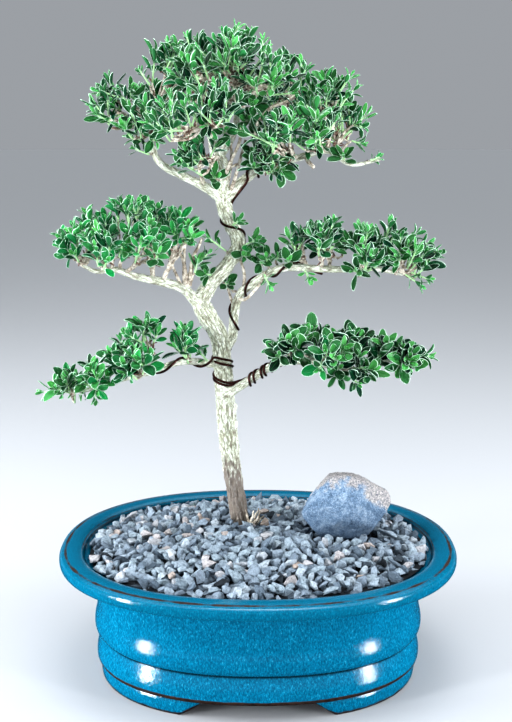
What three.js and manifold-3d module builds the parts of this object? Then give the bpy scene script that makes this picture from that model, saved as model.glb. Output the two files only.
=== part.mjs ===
// A serissa bonsai in an oval glazed pot: pot, drain screens, soil, gravel, accent stone, tree,
// training wires and one node for each leafy spray. Millimetres, +Z up. The origin is on the table,
// under the middle of the whole object.
import * as THREE from 'three';
import { mergeVertices } from 'three/addons/utils/BufferGeometryUtils.js';
import Module from 'manifold-3d';

const wasm = await Module();
wasm.setup();

// Driving dimensions
const POT_X = 7;              // middle of the pot from the middle of the whole object
const RIM_HALF_WIDTH = 101.6;
const RIM_HALF_DEPTH = 80.5;
const OVAL_POWER = 2.25;      // 2 is a plain ellipse, more is squarer
const FIT_GAP = 0.3;          // clearance where two pieces touch
const POT_FLOOR_Z = 15.8;
const UNDERSIDE_Z = 9.2;
const FOOT_WIDTH = 9;         // width of the foot band, inwards
const FOOT_CUT_TOP = 56;      // length of the cut-out between the feet at its top
const FOOT_CUT_LOW = 76;      // and at the table
const DRAIN_X = 40;           // each drain hole from the middle of the pot
const DRAIN_RADIUS = 7;
const SCREEN_SIDE = 24;
const SCREEN_THICKNESS = 1.2;
const SOIL_TOP_Z = 58;
const LEDGE_TOP_Z = 64.3;     // underside of the gravel where it lies on the pot's inner ledge
const GRAVEL_EDGE_Z = 66.1;
const GRAVEL_DOME = 6.2;      // how much higher the gravel lies in the middle
const GRAIN_PITCH = 7.8;      // spacing of the gravel relief's points
const TRUNK_X = -2.6;
const TRUNK_Y = 18;
const TRUNK_END_Z = 30;       // lower end of the trunk, in the soil
const TRUNK_HOLE = 6.2;       // radius of the plain hole that it stands in
const STONE_AT = [52.5, 4, 84.6];
const STONE_FLAT_Z = 69.6;    // the stone's flat underside
const WIRE_RADIUS = 0.65;
const WIRE_SIDES = 4;
const WIRE_STEPS = 7;         // steps in each turn of wire
const LEAF_THICKNESS = 0.7;
const LEAF_LENGTH = 14.5;
const LEAF_WIDTH = 7.6;
const STEM_LENGTH = 9;
const STEM_RADIUS = 1.0;
const STEM_SIDES = 3;
const ROOT_OFFSET = 0.4;      // a leaf's root from its stem's middle line
const NEIGHBOUR_GAP = 0.7;    // from a leaf's middle surface to the border with the next spray
const WOOD_GAP = 1.1;         // from a leaf's middle surface to the wood and wires
const SEED = 3414;

const group = new THREE.Group();

function addPart(name, geometry, color, roughness, metalness = 0) {
  const mesh = new THREE.Mesh(geometry, new THREE.MeshStandardMaterial({ color, roughness, metalness }));
  mesh.name = name;
  group.add(mesh);
}

// Random numbers from 0 to 1 that are the same at every run.
function randomFrom(seed) {
  let state = seed;
  return () => {
    state = (state + 0x6d2b79f5) | 0;
    let mixed = Math.imul(state ^ (state >>> 15), 1 | state);
    mixed = (mixed + Math.imul(mixed ^ (mixed >>> 7), 61 | mixed)) ^ mixed;
    return ((mixed ^ (mixed >>> 14)) >>> 0) / 4294967296;
  };
}

// Closed meshes become solids for joining and cutting, and come back as geometries.
function toSolid(geometry) {
  const bare = geometry.clone();
  bare.deleteAttribute('normal');
  bare.deleteAttribute('uv');
  const merged = mergeVertices(bare, 1e-4);
  const vertProperties = new Float32Array(merged.attributes.position.array);
  const triVerts = new Uint32Array(merged.index.array);
  return new wasm.Manifold(new wasm.Mesh({ numProp: 3, vertProperties, triVerts }));
}

function toGeometry(solid) {
  const mesh = solid.getMesh();
  const geometry = new THREE.BufferGeometry();
  geometry.setAttribute('position', new THREE.BufferAttribute(mesh.vertProperties, 3));
  geometry.setIndex(new THREE.BufferAttribute(mesh.triVerts, 1));
  geometry.computeVertexNormals();
  return geometry;
}

function placed(geometry, x, y, z) {
  return toSolid(geometry.translate(x, y, z));
}

// A closed skin over rings of points, all with the same count, and a fan at each end.
function skinRings(rings) {
  const count = rings[0].length;
  const points = rings.flat();
  const middle = (ring) => ring.reduce((sum, p) => sum.add(p), new THREE.Vector3()).divideScalar(count);
  points.push(middle(rings[0]), middle(rings[rings.length - 1]));
  const index = [];
  for (let r = 0; r < rings.length - 1; r++) {
    for (let i = 0; i < count; i++) {
      const next = (i + 1) % count;
      const a = r * count + i;
      const b = r * count + next;
      index.push(a, b, b + count, a, b + count, a + count);
    }
  }
  const first = points.length - 2;
  const lastRing = (rings.length - 1) * count;
  for (let i = 0; i < count; i++) {
    const next = (i + 1) % count;
    index.push(first, next, i);
    index.push(first + 1, lastRing + i, lastRing + next);
  }
  const geometry = new THREE.BufferGeometry().setFromPoints(points);
  geometry.setIndex(index);
  return geometry;
}

// Pot: oval rings from a profile of [inset from the rim's edge, height].
function ovalRing(inset, z, count) {
  const ring = [];
  for (let i = 0; i < count; i++) {
    const angle = (2 * Math.PI * i) / count;
    const c = Math.cos(angle);
    const s = Math.sin(angle);
    const x = (RIM_HALF_WIDTH - inset) * Math.sign(c) * Math.abs(c) ** (2 / OVAL_POWER);
    const y = (RIM_HALF_DEPTH - inset) * Math.sign(s) * Math.abs(s) ** (2 / OVAL_POWER);
    ring.push(new THREE.Vector3(POT_X + x, y, z));
  }
  return ring;
}

function ovalSolid(profile, count) {
  return toSolid(skinRings(profile.map(([inset, z]) => ovalRing(inset, z, count))));
}

const POT_SIDES = 34;
const bodyProfile = [
  [20.8, UNDERSIDE_Z], [18.2, 9.6], [17.5, 12], [18.5, 19], [19.8, 23.4], [16.8, 28.8], [18.1, 38],
  [17.4, 60], [2.4, 60.4], [0, 63.6], [1.2, 67.2], [5, 68], [10.4, 67.6], [12.9, 64], [20.5, 61.5],
  [22, 57], [23.6, 21], [27, POT_FLOOR_Z],
];
const footOuter = [[20.8, 0], [19.8, 2], [19.8, UNDERSIDE_Z + 0.2]];
const footInner = [[20.8 + FOOT_WIDTH, -1], [19.8 + FOOT_WIDTH, UNDERSIDE_Z + 1]];

// The cut-outs between the feet run from front to back, with sloping ends.
function footCut() {
  const shape = new THREE.Shape();
  shape.moveTo(-FOOT_CUT_LOW / 2, -1);
  shape.lineTo(FOOT_CUT_LOW / 2, -1);
  shape.lineTo(FOOT_CUT_LOW / 2 - 4, 4);
  shape.quadraticCurveTo(FOOT_CUT_TOP / 2 + 2, UNDERSIDE_Z - 1.5, FOOT_CUT_TOP / 2 - 6, UNDERSIDE_Z);
  shape.lineTo(-FOOT_CUT_TOP / 2 + 6, UNDERSIDE_Z);
  shape.quadraticCurveTo(-FOOT_CUT_TOP / 2 - 2, UNDERSIDE_Z - 1.5, -FOOT_CUT_LOW / 2 + 4, 4);
  const depth = 2 * RIM_HALF_DEPTH;
  const geometry = new THREE.ExtrudeGeometry(shape, { depth, bevelEnabled: false, curveSegments: 3 });
  geometry.rotateX(Math.PI / 2);
  return placed(geometry, POT_X, RIM_HALF_DEPTH, 0);
}

const feet = ovalSolid(footOuter, POT_SIDES).subtract(ovalSolid(footInner, POT_SIDES)).subtract(footCut());
let pot = ovalSolid(bodyProfile, POT_SIDES).add(feet);
for (const side of [-1, 1]) {
  const hole = new THREE.CylinderGeometry(DRAIN_RADIUS, DRAIN_RADIUS, 20, 16).rotateX(Math.PI / 2);
  pot = pot.subtract(placed(hole, POT_X + side * DRAIN_X, 0, POT_FLOOR_Z));
}
addPart('pot', toGeometry(pot), 0x118fb4, 0.18);

// Drain screens: a square plate with four windows over each drain hole.
const screenZ = POT_FLOOR_Z + FIT_GAP;
for (const side of [-1, 1]) {
  const middleX = POT_X + side * DRAIN_X;
  const plate = new THREE.BoxGeometry(SCREEN_SIDE, SCREEN_SIDE, SCREEN_THICKNESS);
  let screen = placed(plate, middleX, 0, screenZ + SCREEN_THICKNESS / 2);
  for (const [x, y] of [[-5, -5], [5, -5], [-5, 5], [5, 5]]) {
    const window = new THREE.BoxGeometry(6, 6, 3 * SCREEN_THICKNESS);
    screen = screen.subtract(placed(window, middleX + x, y, screenZ));
  }
  addPart(side < 0 ? 'drain_screen_left' : 'drain_screen_right', toGeometry(screen), 0x2a2a2a, 0.6);
}

// Soil: fills the pot below the gravel, with recesses for the screens and a hole for the trunk.
const soilProfile = [
  [27.6, POT_FLOOR_Z + FIT_GAP], [24, 22.4], [22.45, 57], [22.35, SOIL_TOP_Z],
];
let soil = ovalSolid(soilProfile, POT_SIDES);
for (const side of [-1, 1]) {
  const width = SCREEN_SIDE + 2 * FIT_GAP;
  const recess = new THREE.BoxGeometry(width, width, 2 * (SCREEN_THICKNESS + FIT_GAP));
  soil = soil.subtract(placed(recess, POT_X + side * DRAIN_X, 0, screenZ));
}

function trunkHole(fromZ, toZ) {
  const height = toZ - fromZ;
  const hole = new THREE.CylinderGeometry(TRUNK_HOLE, TRUNK_HOLE, height, 14).rotateX(Math.PI / 2);
  return placed(hole, TRUNK_X, TRUNK_Y, fromZ + height / 2);
}

soil = soil.subtract(trunkHole(TRUNK_END_Z - FIT_GAP, SOIL_TOP_Z + 5));
addPart('soil', toGeometry(soil), 0x3b2c22, 1);

// Gravel: a domed layer whose top is a relief of angular grains. Every third point of a hexagonal
// grid is the top of a grain and the rest lie in the hollows between the grains.
function gravelLevel(x, y) {
  const across = (x - POT_X) / (RIM_HALF_WIDTH - 12);
  const deep = y / (RIM_HALF_DEPTH - 12);
  return GRAVEL_EDGE_Z + GRAVEL_DOME * Math.max(0, 1 - across * across - deep * deep);
}

function gravelSheet() {
  const random = randomFrom(SEED);
  const columns = Math.ceil((2 * RIM_HALF_WIDTH) / GRAIN_PITCH);
  const rowPitch = GRAIN_PITCH * Math.sqrt(3) / 2;
  const rows = Math.ceil((2 * RIM_HALF_DEPTH) / rowPitch);
  const vertices = [];
  for (let r = 0; r <= rows; r++) {
    for (let c = 0; c <= columns; c++) {
      const isTop = (c + (r % 2 ? 2 : 0) - Math.floor(r / 2) + 3000) % 3 === 0;
      const x = POT_X + (c + (r % 2) / 2 - columns / 2) * GRAIN_PITCH + (random() - 0.5) * 1.6;
      const y = (r - rows / 2) * rowPitch + (random() - 0.5) * 1.6;
      let z = gravelLevel(x, y) + (isTop ? 1.2 + 1.2 * random() : -0.4 - 0.8 * random());
      const stoneX = (x - STONE_AT[0]) / 31;
      const stoneY = (y - STONE_AT[1]) / 24;
      if (stoneX * stoneX + stoneY * stoneY < 1) {
        z = Math.min(z, STONE_FLAT_Z - FIT_GAP);
      }
      vertices.push(new THREE.Vector3(x, y, z));
    }
  }
  const width = columns + 1;
  const index = [];
  for (let r = 0; r < rows; r++) {
    for (let c = 0; c < columns; c++) {
      const a = r * width + c;
      const b = a + 1;
      const d = a + width;
      const e = d + 1;
      if (r % 2) {
        index.push(a, b, e, a, e, d);
      } else {
        index.push(a, b, d, b, e, d);
      }
    }
  }
  const border = [];
  for (let c = 0; c < columns; c++) border.push(c);
  for (let r = 0; r < rows; r++) border.push(r * width + columns);
  for (let c = columns; c > 0; c--) border.push(rows * width + c);
  for (let r = rows; r > 0; r--) border.push(r * width);
  const low = vertices.length;
  border.forEach((v) => vertices.push(vertices[v].clone().setZ(SOIL_TOP_Z - 20)));
  const centre = vertices.length;
  vertices.push(new THREE.Vector3(POT_X, 0, SOIL_TOP_Z - 20));
  border.forEach((v, i) => {
    const j = (i + 1) % border.length;
    index.push(border[j], v, low + i, border[j], low + i, low + j);
    index.push(centre, low + j, low + i);
  });
  const geometry = new THREE.BufferGeometry().setFromPoints(vertices);
  geometry.setIndex(index);
  return toSolid(geometry);
}

const gravelBed = ovalSolid([[22.3, SOIL_TOP_Z + FIT_GAP], [22.3, 90]], POT_SIDES);
const gravelFlange = ovalSolid([[13.5, LEDGE_TOP_Z], [13.5, 90]], POT_SIDES);
const gravel = gravelSheet().intersect(gravelBed.add(gravelFlange))
  .subtract(trunkHole(SOIL_TOP_Z - 5, SOIL_TOP_Z + 40));
addPart('gravel', toGeometry(gravel), 0x6d7579, 0.95);

// Stone: a ball cut back by flat facets, each [direction, distance from the middle].
const stoneFacets = [
  [[0, 0, -1], STONE_AT[2] - STONE_FLAT_Z], [[-0.74, -0.14, -0.66], 20], [[0.5, -0.18, -0.84], 18.5],
  [[0.82, -0.12, -0.56], 17.6], [[0.98, 0.04, 0.21], 24.2], [[0.4, 0.19, 0.89], 17.4],
  [[-0.07, 0.21, 0.97], 17.4], [[-0.74, 0.14, 0.65], 17.6], [[-0.88, 0.1, 0.46], 19.4],
  [[-0.35, -0.87, 0.34], 14.2], [[0.3, -0.86, 0.4], 13.8], [[0, -0.92, -0.38], 15.2],
  [[-0.1, 0.98, 0.1], 14], [[-0.7, 0.7, 0.1], 17], [[0.72, 0.66, 0.2], 17.5],
];
const stoneBall = new THREE.IcosahedronGeometry(1, 2);
const stonePoint = new THREE.Vector3();
const facetWay = new THREE.Vector3();
for (let i = 0; i < stoneBall.attributes.position.count; i++) {
  stonePoint.fromBufferAttribute(stoneBall.attributes.position, i).normalize();
  let reach = 26;
  for (const [way, distance] of stoneFacets) {
    const facing = facetWay.set(...way).normalize().dot(stonePoint);
    if (facing > 0.05) {
      reach = Math.min(reach, distance / facing);
    }
  }
  stonePoint.multiplyScalar(reach);
  stoneBall.attributes.position.setXYZ(i, stonePoint.x, stonePoint.y, stonePoint.z);
}
addPart('stone', toGeometry(placed(stoneBall, ...STONE_AT)), 0x5f6f80, 0.9);

// A limb: rings of a few sides along a smooth curve through points of [x, y, z, radius].
function limbSamples(points, stepsEach) {
  const curve = new THREE.CatmullRomCurve3(points.map(([x, y, z]) => new THREE.Vector3(x, y, z)));
  curve.curveType = 'centripetal';
  const steps = (points.length - 1) * stepsEach;
  const samples = [];
  for (let i = 0; i <= steps; i++) {
    const along = (i / steps) * (points.length - 1);
    const from = Math.min(points.length - 2, Math.floor(along));
    const radius = THREE.MathUtils.lerp(points[from][3], points[from + 1][3], along - from);
    samples.push({ at: curve.getPoint(i / steps), way: curve.getTangent(i / steps), radius });
  }
  return samples;
}

// Two directions square to each sample's way, carried along the curve without twisting.
function addFrames(samples) {
  let normal = new THREE.Vector3(0, -1, 0);
  for (const sample of samples) {
    normal.addScaledVector(sample.way, -normal.dot(sample.way)).normalize();
    sample.normal = normal.clone();
    sample.side = new THREE.Vector3().crossVectors(sample.way, normal);
    normal = normal.clone();
  }
  return samples;
}

function around(sample, angle, radius) {
  return sample.at.clone()
    .addScaledVector(sample.normal, radius * Math.cos(angle))
    .addScaledVector(sample.side, radius * Math.sin(angle));
}

function tubeSolid(samples, sides, turn = 0) {
  const rings = addFrames(samples).map((sample) => {
    const ring = [];
    for (let i = 0; i < sides; i++) {
      ring.push(around(sample, turn + (2 * Math.PI * i) / sides, sample.radius));
    }
    return ring;
  });
  return toSolid(skinRings(rings));
}

// Tree: the trunk and limbs, as [x, y, z, radius] from root to tip.
const trunk = [
  [TRUNK_X, TRUNK_Y, TRUNK_END_Z, 4.6], [TRUNK_X, TRUNK_Y, 66, 5.6], [-2.9, 18, 74, 4.9], [-4.9, 18, 88, 4.7],
  [-6.7, 18, 101, 5], [-9.2, 18, 125, 5.2], [-10.4, 18, 146, 5], [-11.6, 18, 160, 4.7], [-12.6, 18, 171, 4.8],
  [-18.6, 17, 182.5, 5], [-21.9, 16.2, 190, 4.7], [-16.4, 17, 200, 3.8], [-7.7, 18, 210, 3.7],
  [-2.9, 19, 220, 3.7], [-6.9, 19, 230, 3.7], [-10.1, 19, 238.5, 3.9], [-11, 19, 247, 3.7],
];
const limbs = {
  midLeft: [
    [-21, 16.5, 186, 3.2], [-26.2, 14, 193, 2.8], [-31, 12, 197.8, 2.6], [-39, 9, 201, 2.4],
    [-49, 6, 203.5, 2.1], [-56, 4, 205.6, 1.8], [-63, 2, 208.5, 1.6], [-72.5, 0, 208, 1.3], [-79, -1, 211, 1],
  ],
  midRight: [
    [-11, 20, 164, 2.6], [-6.6, 26, 169.5, 2.6], [-5.5, 26.5, 180.5, 2.5], [-4, 24, 189, 2.4],
    [-0.6, 20, 195.5, 2.3], [4.6, 16, 199.4, 2.3], [11.5, 12, 205, 2.2], [20, 9, 208.6, 2.1],
    [29.4, 7, 208.9, 2], [40.3, 6, 208.3, 1.8], [50, 5.4, 208.2, 1.6], [63.3, 4, 209, 1.4], [79, 4, 205.8, 1],
  ],
  lowLeft: [
    [-12, 17, 158.5, 2.3], [-17, 15, 158.3, 2.1], [-24.7, 12, 160, 1.9], [-34.7, 8, 160.1, 1.7],
    [-46, 4, 156.8, 1.5], [-57.6, 1, 154.3, 1.4], [-69.7, -1, 151.2, 1.2], [-79, -2, 148.4, 1.1],
    [-86, -2.6, 147.6, 0.9],
  ],
  lowRight: [
    [-9.6, 16, 141.5, 2.5], [-1.2, 12, 147.6, 2.3], [9.1, 8, 155.4, 2.1], [17.6, 4, 160.9, 1.9],
    [33.1, 1, 163, 1.7], [52.9, -1, 164.4, 1.4], [73.2, -2, 163.6, 1],
  ],
  crownLeft: [
    [-11, 19, 243, 2.7], [-20, 16.4, 248.4, 2.4], [-30.6, 14, 253.9, 2.1], [-41, 10, 260, 1.8],
    [-44.4, 8.6, 268, 1.5], [-44.8, 8, 278, 1.2],
  ],
  crownBack: [[-11, 19, 246, 2.8], [-13, 21, 258, 2.4], [-16.2, 24, 274, 2], [-12, 31, 288, 1.3]],
  crownTop: [[-13.6, 21.6, 261, 2], [-6, 16, 272, 1.8], [-3, 9, 285, 1.5], [-4, 6, 297, 1.1]],
  crownFront: [[-11, 19, 246, 2.2], [-8, 6, 258, 1.7], [-12, -6, 266, 1.4], [-17, -16, 277, 1.1]],
  crownRight: [
    [-7.6, 19, 244, 2.7], [2.5, 16, 253.5, 2.4], [14, 12.6, 258.4, 2.1], [24.6, 10, 261.8, 1.8],
    [34, 8, 264.6, 1.6], [41.4, 6, 265.4, 1.4], [52, 4, 259.4, 1.2], [66.2, 2, 262, 0.9],
  ],
  crownRear: [[14, 12.6, 258.4, 1.9], [17, 23, 267, 1.6], [24, 31, 279, 1.2]],
};

// Leafy sprays, as the limb that each grows from, the middle of its leaves and its size against most.
const sprays = [
  ['crownLeft', [-67, 3, 291]], ['crownLeft', [-50, -8, 276]], ['crownLeft', [-50, 27, 289]],
  ['crownLeft', [-38, 10, 311]], ['crownTop', [-24, -10, 303]], ['crownBack', [-26, 35, 298]],
  ['crownTop', [-22, 14, 312]], ['crownFront', [-31, -25, 280]], ['crownTop', [-5, -8, 309]],
  ['crownTop', [-2, 10, 313.5]], ['crownBack', [-5, 42, 298]], ['crownFront', [-11, -30, 285]],
  ['crownTop', [14, -14, 300]], ['crownRear', [23, 14, 306]], ['crownRear', [18, 42, 289]],
  ['crownRight', [16, -24, 274]], ['crownRight', [43, 0, 296]], ['crownRear', [34, 24, 291]],
  ['crownRight', [36, -18, 275]], ['crownRight', [53, 10, 283]], ['crownFront', [-24, -6, 264], 0.75],
  ['crownRight', [12, -6, 259], 0.75],
  ['midLeft', [-85, -4, 222]], ['midLeft', [-74, 12, 230]], ['midLeft', [-66, -17, 222]],
  ['midLeft', [-55, 3, 237]], ['midLeft', [-46, -14, 223]], ['midLeft', [-44, 23, 230]],
  ['midLeft', [-31, 1, 229]],
  ['midRight', [23, 13, 223], 0.8], ['midRight', [36, -4, 226]], ['midRight', [44, 20, 226]],
  ['midRight', [57, 1, 226]], ['midRight', [57, -15, 217], 0.85], ['midRight', [73, 14, 226]],
  ['midRight', [78, -7, 220]], ['midRight', [92, 4, 214]],
  ['lowLeft', [-96.3, -4, 151.5], 0.8], ['lowLeft', [-77, -6, 158], 0.85], ['lowLeft', [-62, 5, 168], 0.9],
  ['lowLeft', [-53, -9, 165], 0.85], ['lowLeft', [-48, 5, 181], 0.8], ['lowLeft', [-31, 7, 173], 0.7],
  ['lowRight', [22, -6, 172], 0.9], ['lowRight', [34, 9, 175]], ['lowRight', [40, -14, 170]],
  ['lowRight', [54, 3, 174]], ['lowRight', [59, -15, 163]], ['lowRight', [72, -1, 172]],
  ['lowRight', [87, -5, 168], 0.85],
].map(([limb, at, size = 1]) => ({
  limb,
  at: new THREE.Vector3(...at),
  size,
  lean: new THREE.Vector3(0, at[1] < 10 ? -0.45 : 0.35, 0),
}));

const trunkSamples = limbSamples(trunk, 1);
const fineSamples = {};
for (const [name, points] of Object.entries(limbs)) {
  fineSamples[name] = addFrames(limbSamples(points, 12));
}
const fineTrunk = addFrames(limbSamples(trunk, 12));

// Wires: each wraps stretches of limbs, from one share of a limb's length to another. A stretch
// starts at the angle where the last one ended, or at a stated one, and makes its whole turns and
// then goes on to its end angle. Angles run from the front of the limb, and fewer than 0 turns
// wrap the other way round.
const wires = {
  wire_low: [
    { on: fineSamples.lowLeft, from: 0.6, to: 0.12, turns: 2, start: 1.2, end: 1.3 },
    { on: fineTrunk, from: 0.452, to: 0.38, turns: 1, end: 0.9 },
    { on: fineSamples.lowRight, from: 0.17, to: 0.5, turns: -3, end: 2 },
  ],
  wire_mid: [{ on: fineSamples.midRight, from: 0.12, to: 0.74, turns: -3, start: 0.8, end: 0.6 }],
  wire_crown: [
    { on: fineTrunk, from: 0.8, to: 0.955, turns: -1, start: 3.6, end: 0.9 },
    { on: fineSamples.crownRight, from: 0.13, to: 0.24, turns: -1, end: 3 },
  ],
};

function sampleAt(samples, share) {
  return samples[Math.round(share * (samples.length - 1))];
}

function wirePoints(stretches) {
  const points = [];
  const fullTurn = 2 * Math.PI;
  for (const { on, from, to, turns, start, end } of stretches) {
    let first = start;
    if (first === undefined) {
      const sample = sampleAt(on, from);
      const offset = points[points.length - 1].clone().sub(sample.at);
      first = Math.atan2(offset.dot(sample.side), offset.dot(sample.normal));
    }
    const hand = Math.sign(turns);
    const rest = (((hand * (end - first)) % fullTurn) + fullTurn) % fullTurn;
    const sweep = turns * fullTurn + hand * rest;
    const steps = Math.round((Math.abs(sweep) / fullTurn) * WIRE_STEPS);
    for (let i = 0; i <= steps; i++) {
      const sample = sampleAt(on, from + ((to - from) * i) / steps);
      const out = sample.radius * 1.1 + FIT_GAP + 1.15 * WIRE_RADIUS;
      points.push(around(sample, first + (sweep * i) / steps, out));
    }
  }
  return points;
}

const wireSpheres = [];
for (const [name, stretches] of Object.entries(wires)) {
  const points = wirePoints(stretches);
  const samples = points.map((at, i) => ({
    at,
    way: points[Math.min(i + 1, points.length - 1)].clone().sub(points[Math.max(i - 1, 0)]).normalize(),
    radius: WIRE_RADIUS,
  }));
  for (let i = 0; i < points.length - 1; i++) {
    for (const share of [0, 0.25, 0.5, 0.75]) {
      wireSpheres.push({ at: points[i].clone().lerp(points[i + 1], share), radius: WIRE_RADIUS });
    }
  }
  addPart(name, toGeometry(tubeSolid(samples, WIRE_SIDES)), 0x3a2722, 0.35, 0.8);
}

// Clearance from a point to the nearest of some spheres.
function clearance(point, spheres) {
  let least = Infinity;
  for (const sphere of spheres) {
    least = Math.min(least, point.distanceTo(sphere.at) - sphere.radius);
  }
  return least;
}

// Twigs: each leaves its limb where it is shortest and misses the wires, then turns up to its spray.
const up = new THREE.Vector3(0, 0, 1);
const twigRadius = (share) => 1.1 - 0.4 * share;
const twigs = [];
for (const spray of sprays) {
  let best = Infinity;
  for (const sample of fineSamples[spray.limb].slice(12)) {
    const toward = spray.at.clone().sub(sample.at);
    const way = toward.clone().normalize().addScaledVector(up, 0.7).add(spray.lean).normalize();
    const base = spray.at.clone().addScaledVector(way, -0.6 * STEM_LENGTH * spray.size);
    const bend = sample.at.clone().lerp(base, 0.55).addScaledVector(way, -0.12 * toward.length());
    const end = base.clone().addScaledVector(way, -FIT_GAP);
    const curve = new THREE.QuadraticBezierCurve3(sample.at, bend, end);
    const length = curve.getLength();
    const spheres = [];
    const count = Math.ceil(length / 1.2);
    for (let i = 0; i <= count; i++) {
      const share = i / count;
      spheres.push({ at: curve.getPoint(share), radius: twigRadius(share) });
    }
    const clear = Math.min(...wireSpheres.map((wire) => clearance(wire.at, spheres))) - WIRE_RADIUS;
    const rise = toward.z > 0 ? 0 : 20;
    if (length + rise < best && clear > 0.4) {
      best = length + rise;
      spray.way = way;
      spray.base = base;
      spray.twig = curve;
      spray.twigSpheres = spheres;
    }
  }
  const steps = spray.twig.getLength() < 9 ? 1 : 2;
  const samples = [];
  for (let i = 0; i <= steps; i++) {
    const share = i / steps;
    const way = spray.twig.getTangent(share);
    samples.push({ at: spray.twig.getPoint(share), way, radius: twigRadius(share) });
  }
  twigs.push(tubeSolid(samples, 3));
}

// Dead stubs of old shoots fan out from the foot of the trunk, just above the gravel.
const stubs = [
  [[-1, 16, 75, 1.2], [5, 13.5, 78.2, 0.9], [8.5, 12.6, 80.6, 0.6]],
  [[-1, 18, 75.5, 1.1], [4.5, 18.5, 79, 0.8], [6.5, 18.8, 82, 0.6]],
  [[-1, 20, 75, 1.2], [5.5, 22.5, 77.6, 0.9], [9.5, 23.6, 78.6, 0.6]],
];

const treeParts = [tubeSolid(trunkSamples, 8)];
for (const points of Object.values(limbs)) {
  treeParts.push(tubeSolid(limbSamples(points, 1), 5));
}
for (const points of stubs) {
  treeParts.push(tubeSolid(limbSamples(points, 1), 3));
}
const tree = treeParts.concat(twigs).reduce((sum, solid) => sum.add(solid));
addPart('tree', toGeometry(tree), 0xb9b39a, 0.9);

const treeSpheres = Object.values(fineSamples).flat().concat(fineTrunk, wireSpheres)
  .concat(sprays.flatMap((spray) => spray.twigSpheres));

// One blade: root, tip and two pairs of edge points, arched along its length.
function bladePoints(root, way, across, length, width) {
  const normal = new THREE.Vector3().crossVectors(way, across);
  const outline = [
    [0, 0, 0], [0.5, -0.5, 0.07], [0.97, -0.13, 0], [0.97, 0.13, 0], [0.5, 0.5, 0.07],
  ];
  const middle = outline.map(([along, side, rise]) => root.clone()
    .addScaledVector(way, along * length)
    .addScaledVector(across, side * width)
    .addScaledVector(normal, rise * length));
  return { middle, normal };
}

function bladeSolid({ middle, normal }) {
  const offset = normal.clone().multiplyScalar(LEAF_THICKNESS / 2);
  const points = middle.map((p) => p.clone().add(offset)).concat(middle.map((p) => p.clone().sub(offset)));
  const upper = [0, 1, 4, 1, 2, 4, 2, 3, 4];
  const index = [...upper];
  for (let i = 0; i < upper.length; i += 3) {
    index.push(upper[i] + 5, upper[i + 2] + 5, upper[i + 1] + 5);
  }
  for (let i = 0; i < 5; i++) {
    const next = (i + 1) % 5;
    index.push(i, i + 5, next + 5, i, next + 5, next);
  }
  const geometry = new THREE.BufferGeometry().setFromPoints(points);
  geometry.setIndex(index);
  return toSolid(geometry);
}

// A blade is kept if it stays on its own spray's side of every neighbour and clear of the wood.
function bladeFits(blade, spray) {
  const { middle } = blade;
  const probes = middle.slice(1);
  for (const [a, b] of [[1, 4], [1, 2], [3, 4], [0, 2]]) {
    probes.push(middle[a].clone().lerp(middle[b], 0.5));
  }
  for (const point of probes) {
    for (const other of sprays) {
      if (other === spray) continue;
      const between = other.at.clone().sub(spray.at);
      const half = between.length() / 2;
      const reach = point.clone().sub(spray.at).dot(between.normalize());
      if (reach > half - NEIGHBOUR_GAP) return false;
    }
    if (clearance(point, treeSpheres) < WOOD_GAP) return false;
  }
  return true;
}

// Leafy sprays: a short stem with crossed pairs of leaves that lean further up towards its tip.
const levels = [{ share: 0.22, lean: 1.35 }, { share: 0.6, lean: 1.15 }, { share: 0.96, lean: 0.8 }];
// What a blade that doesn't fit tries next, as [swing about the stem, rise, size].
const tries = [
  [0, 0, 1], [0.35, 0, 1], [-0.35, 0, 1], [0, -0.35, 0.9], [0.3, -0.5, 0.8], [-0.3, -0.5, 0.8],
  [0, -0.7, 0.7],
];
const greens = [0x1f6b34, 0x2a7a3c, 0x18592c, 0x35863f];
sprays.forEach((spray, number) => {
  const random = randomFrom(SEED + number);
  const tip = spray.base.clone().addScaledVector(spray.way, STEM_LENGTH * spray.size);
  const stem = [
    { at: spray.base, way: spray.way, radius: STEM_RADIUS }, { at: tip, way: spray.way, radius: STEM_RADIUS },
  ];
  let solid = tubeSolid(stem, STEM_SIDES);
  let turn = random() * Math.PI;
  for (const { share, lean } of levels) {
    const root = spray.base.clone().lerp(tip, share);
    turn += Math.PI / 2;
    for (let i = 0; i < 2; i++) {
      const angle = turn + Math.PI * i + (random() - 0.5) * 0.5;
      const length = LEAF_LENGTH * spray.size * (0.85 + 0.3 * random());
      for (const [swing, rise, size] of tries) {
        const out = new THREE.Vector3()
          .addScaledVector(stem[0].normal, Math.cos(angle + swing))
          .addScaledVector(stem[0].side, Math.sin(angle + swing));
        const tilt = lean + rise;
        const way = spray.way.clone().multiplyScalar(Math.cos(tilt)).addScaledVector(out, Math.sin(tilt));
        const across = new THREE.Vector3().crossVectors(spray.way, out).normalize();
        const start = root.clone().addScaledVector(out, ROOT_OFFSET);
        const blade = bladePoints(start, way, across, length * size, LEAF_WIDTH * spray.size * size);
        if (bladeFits(blade, spray)) {
          solid = solid.add(bladeSolid(blade));
          break;
        }
      }
    }
  }
  const name = `spray_${spray.limb}_${String(number + 1).padStart(2, '0')}`;
  addPart(name, toGeometry(solid), greens[number % greens.length], 0.45);
});

export default group;
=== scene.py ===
import math
import random

import bmesh
import bpy
import numpy as np
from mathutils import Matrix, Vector, kdtree, noise


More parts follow.
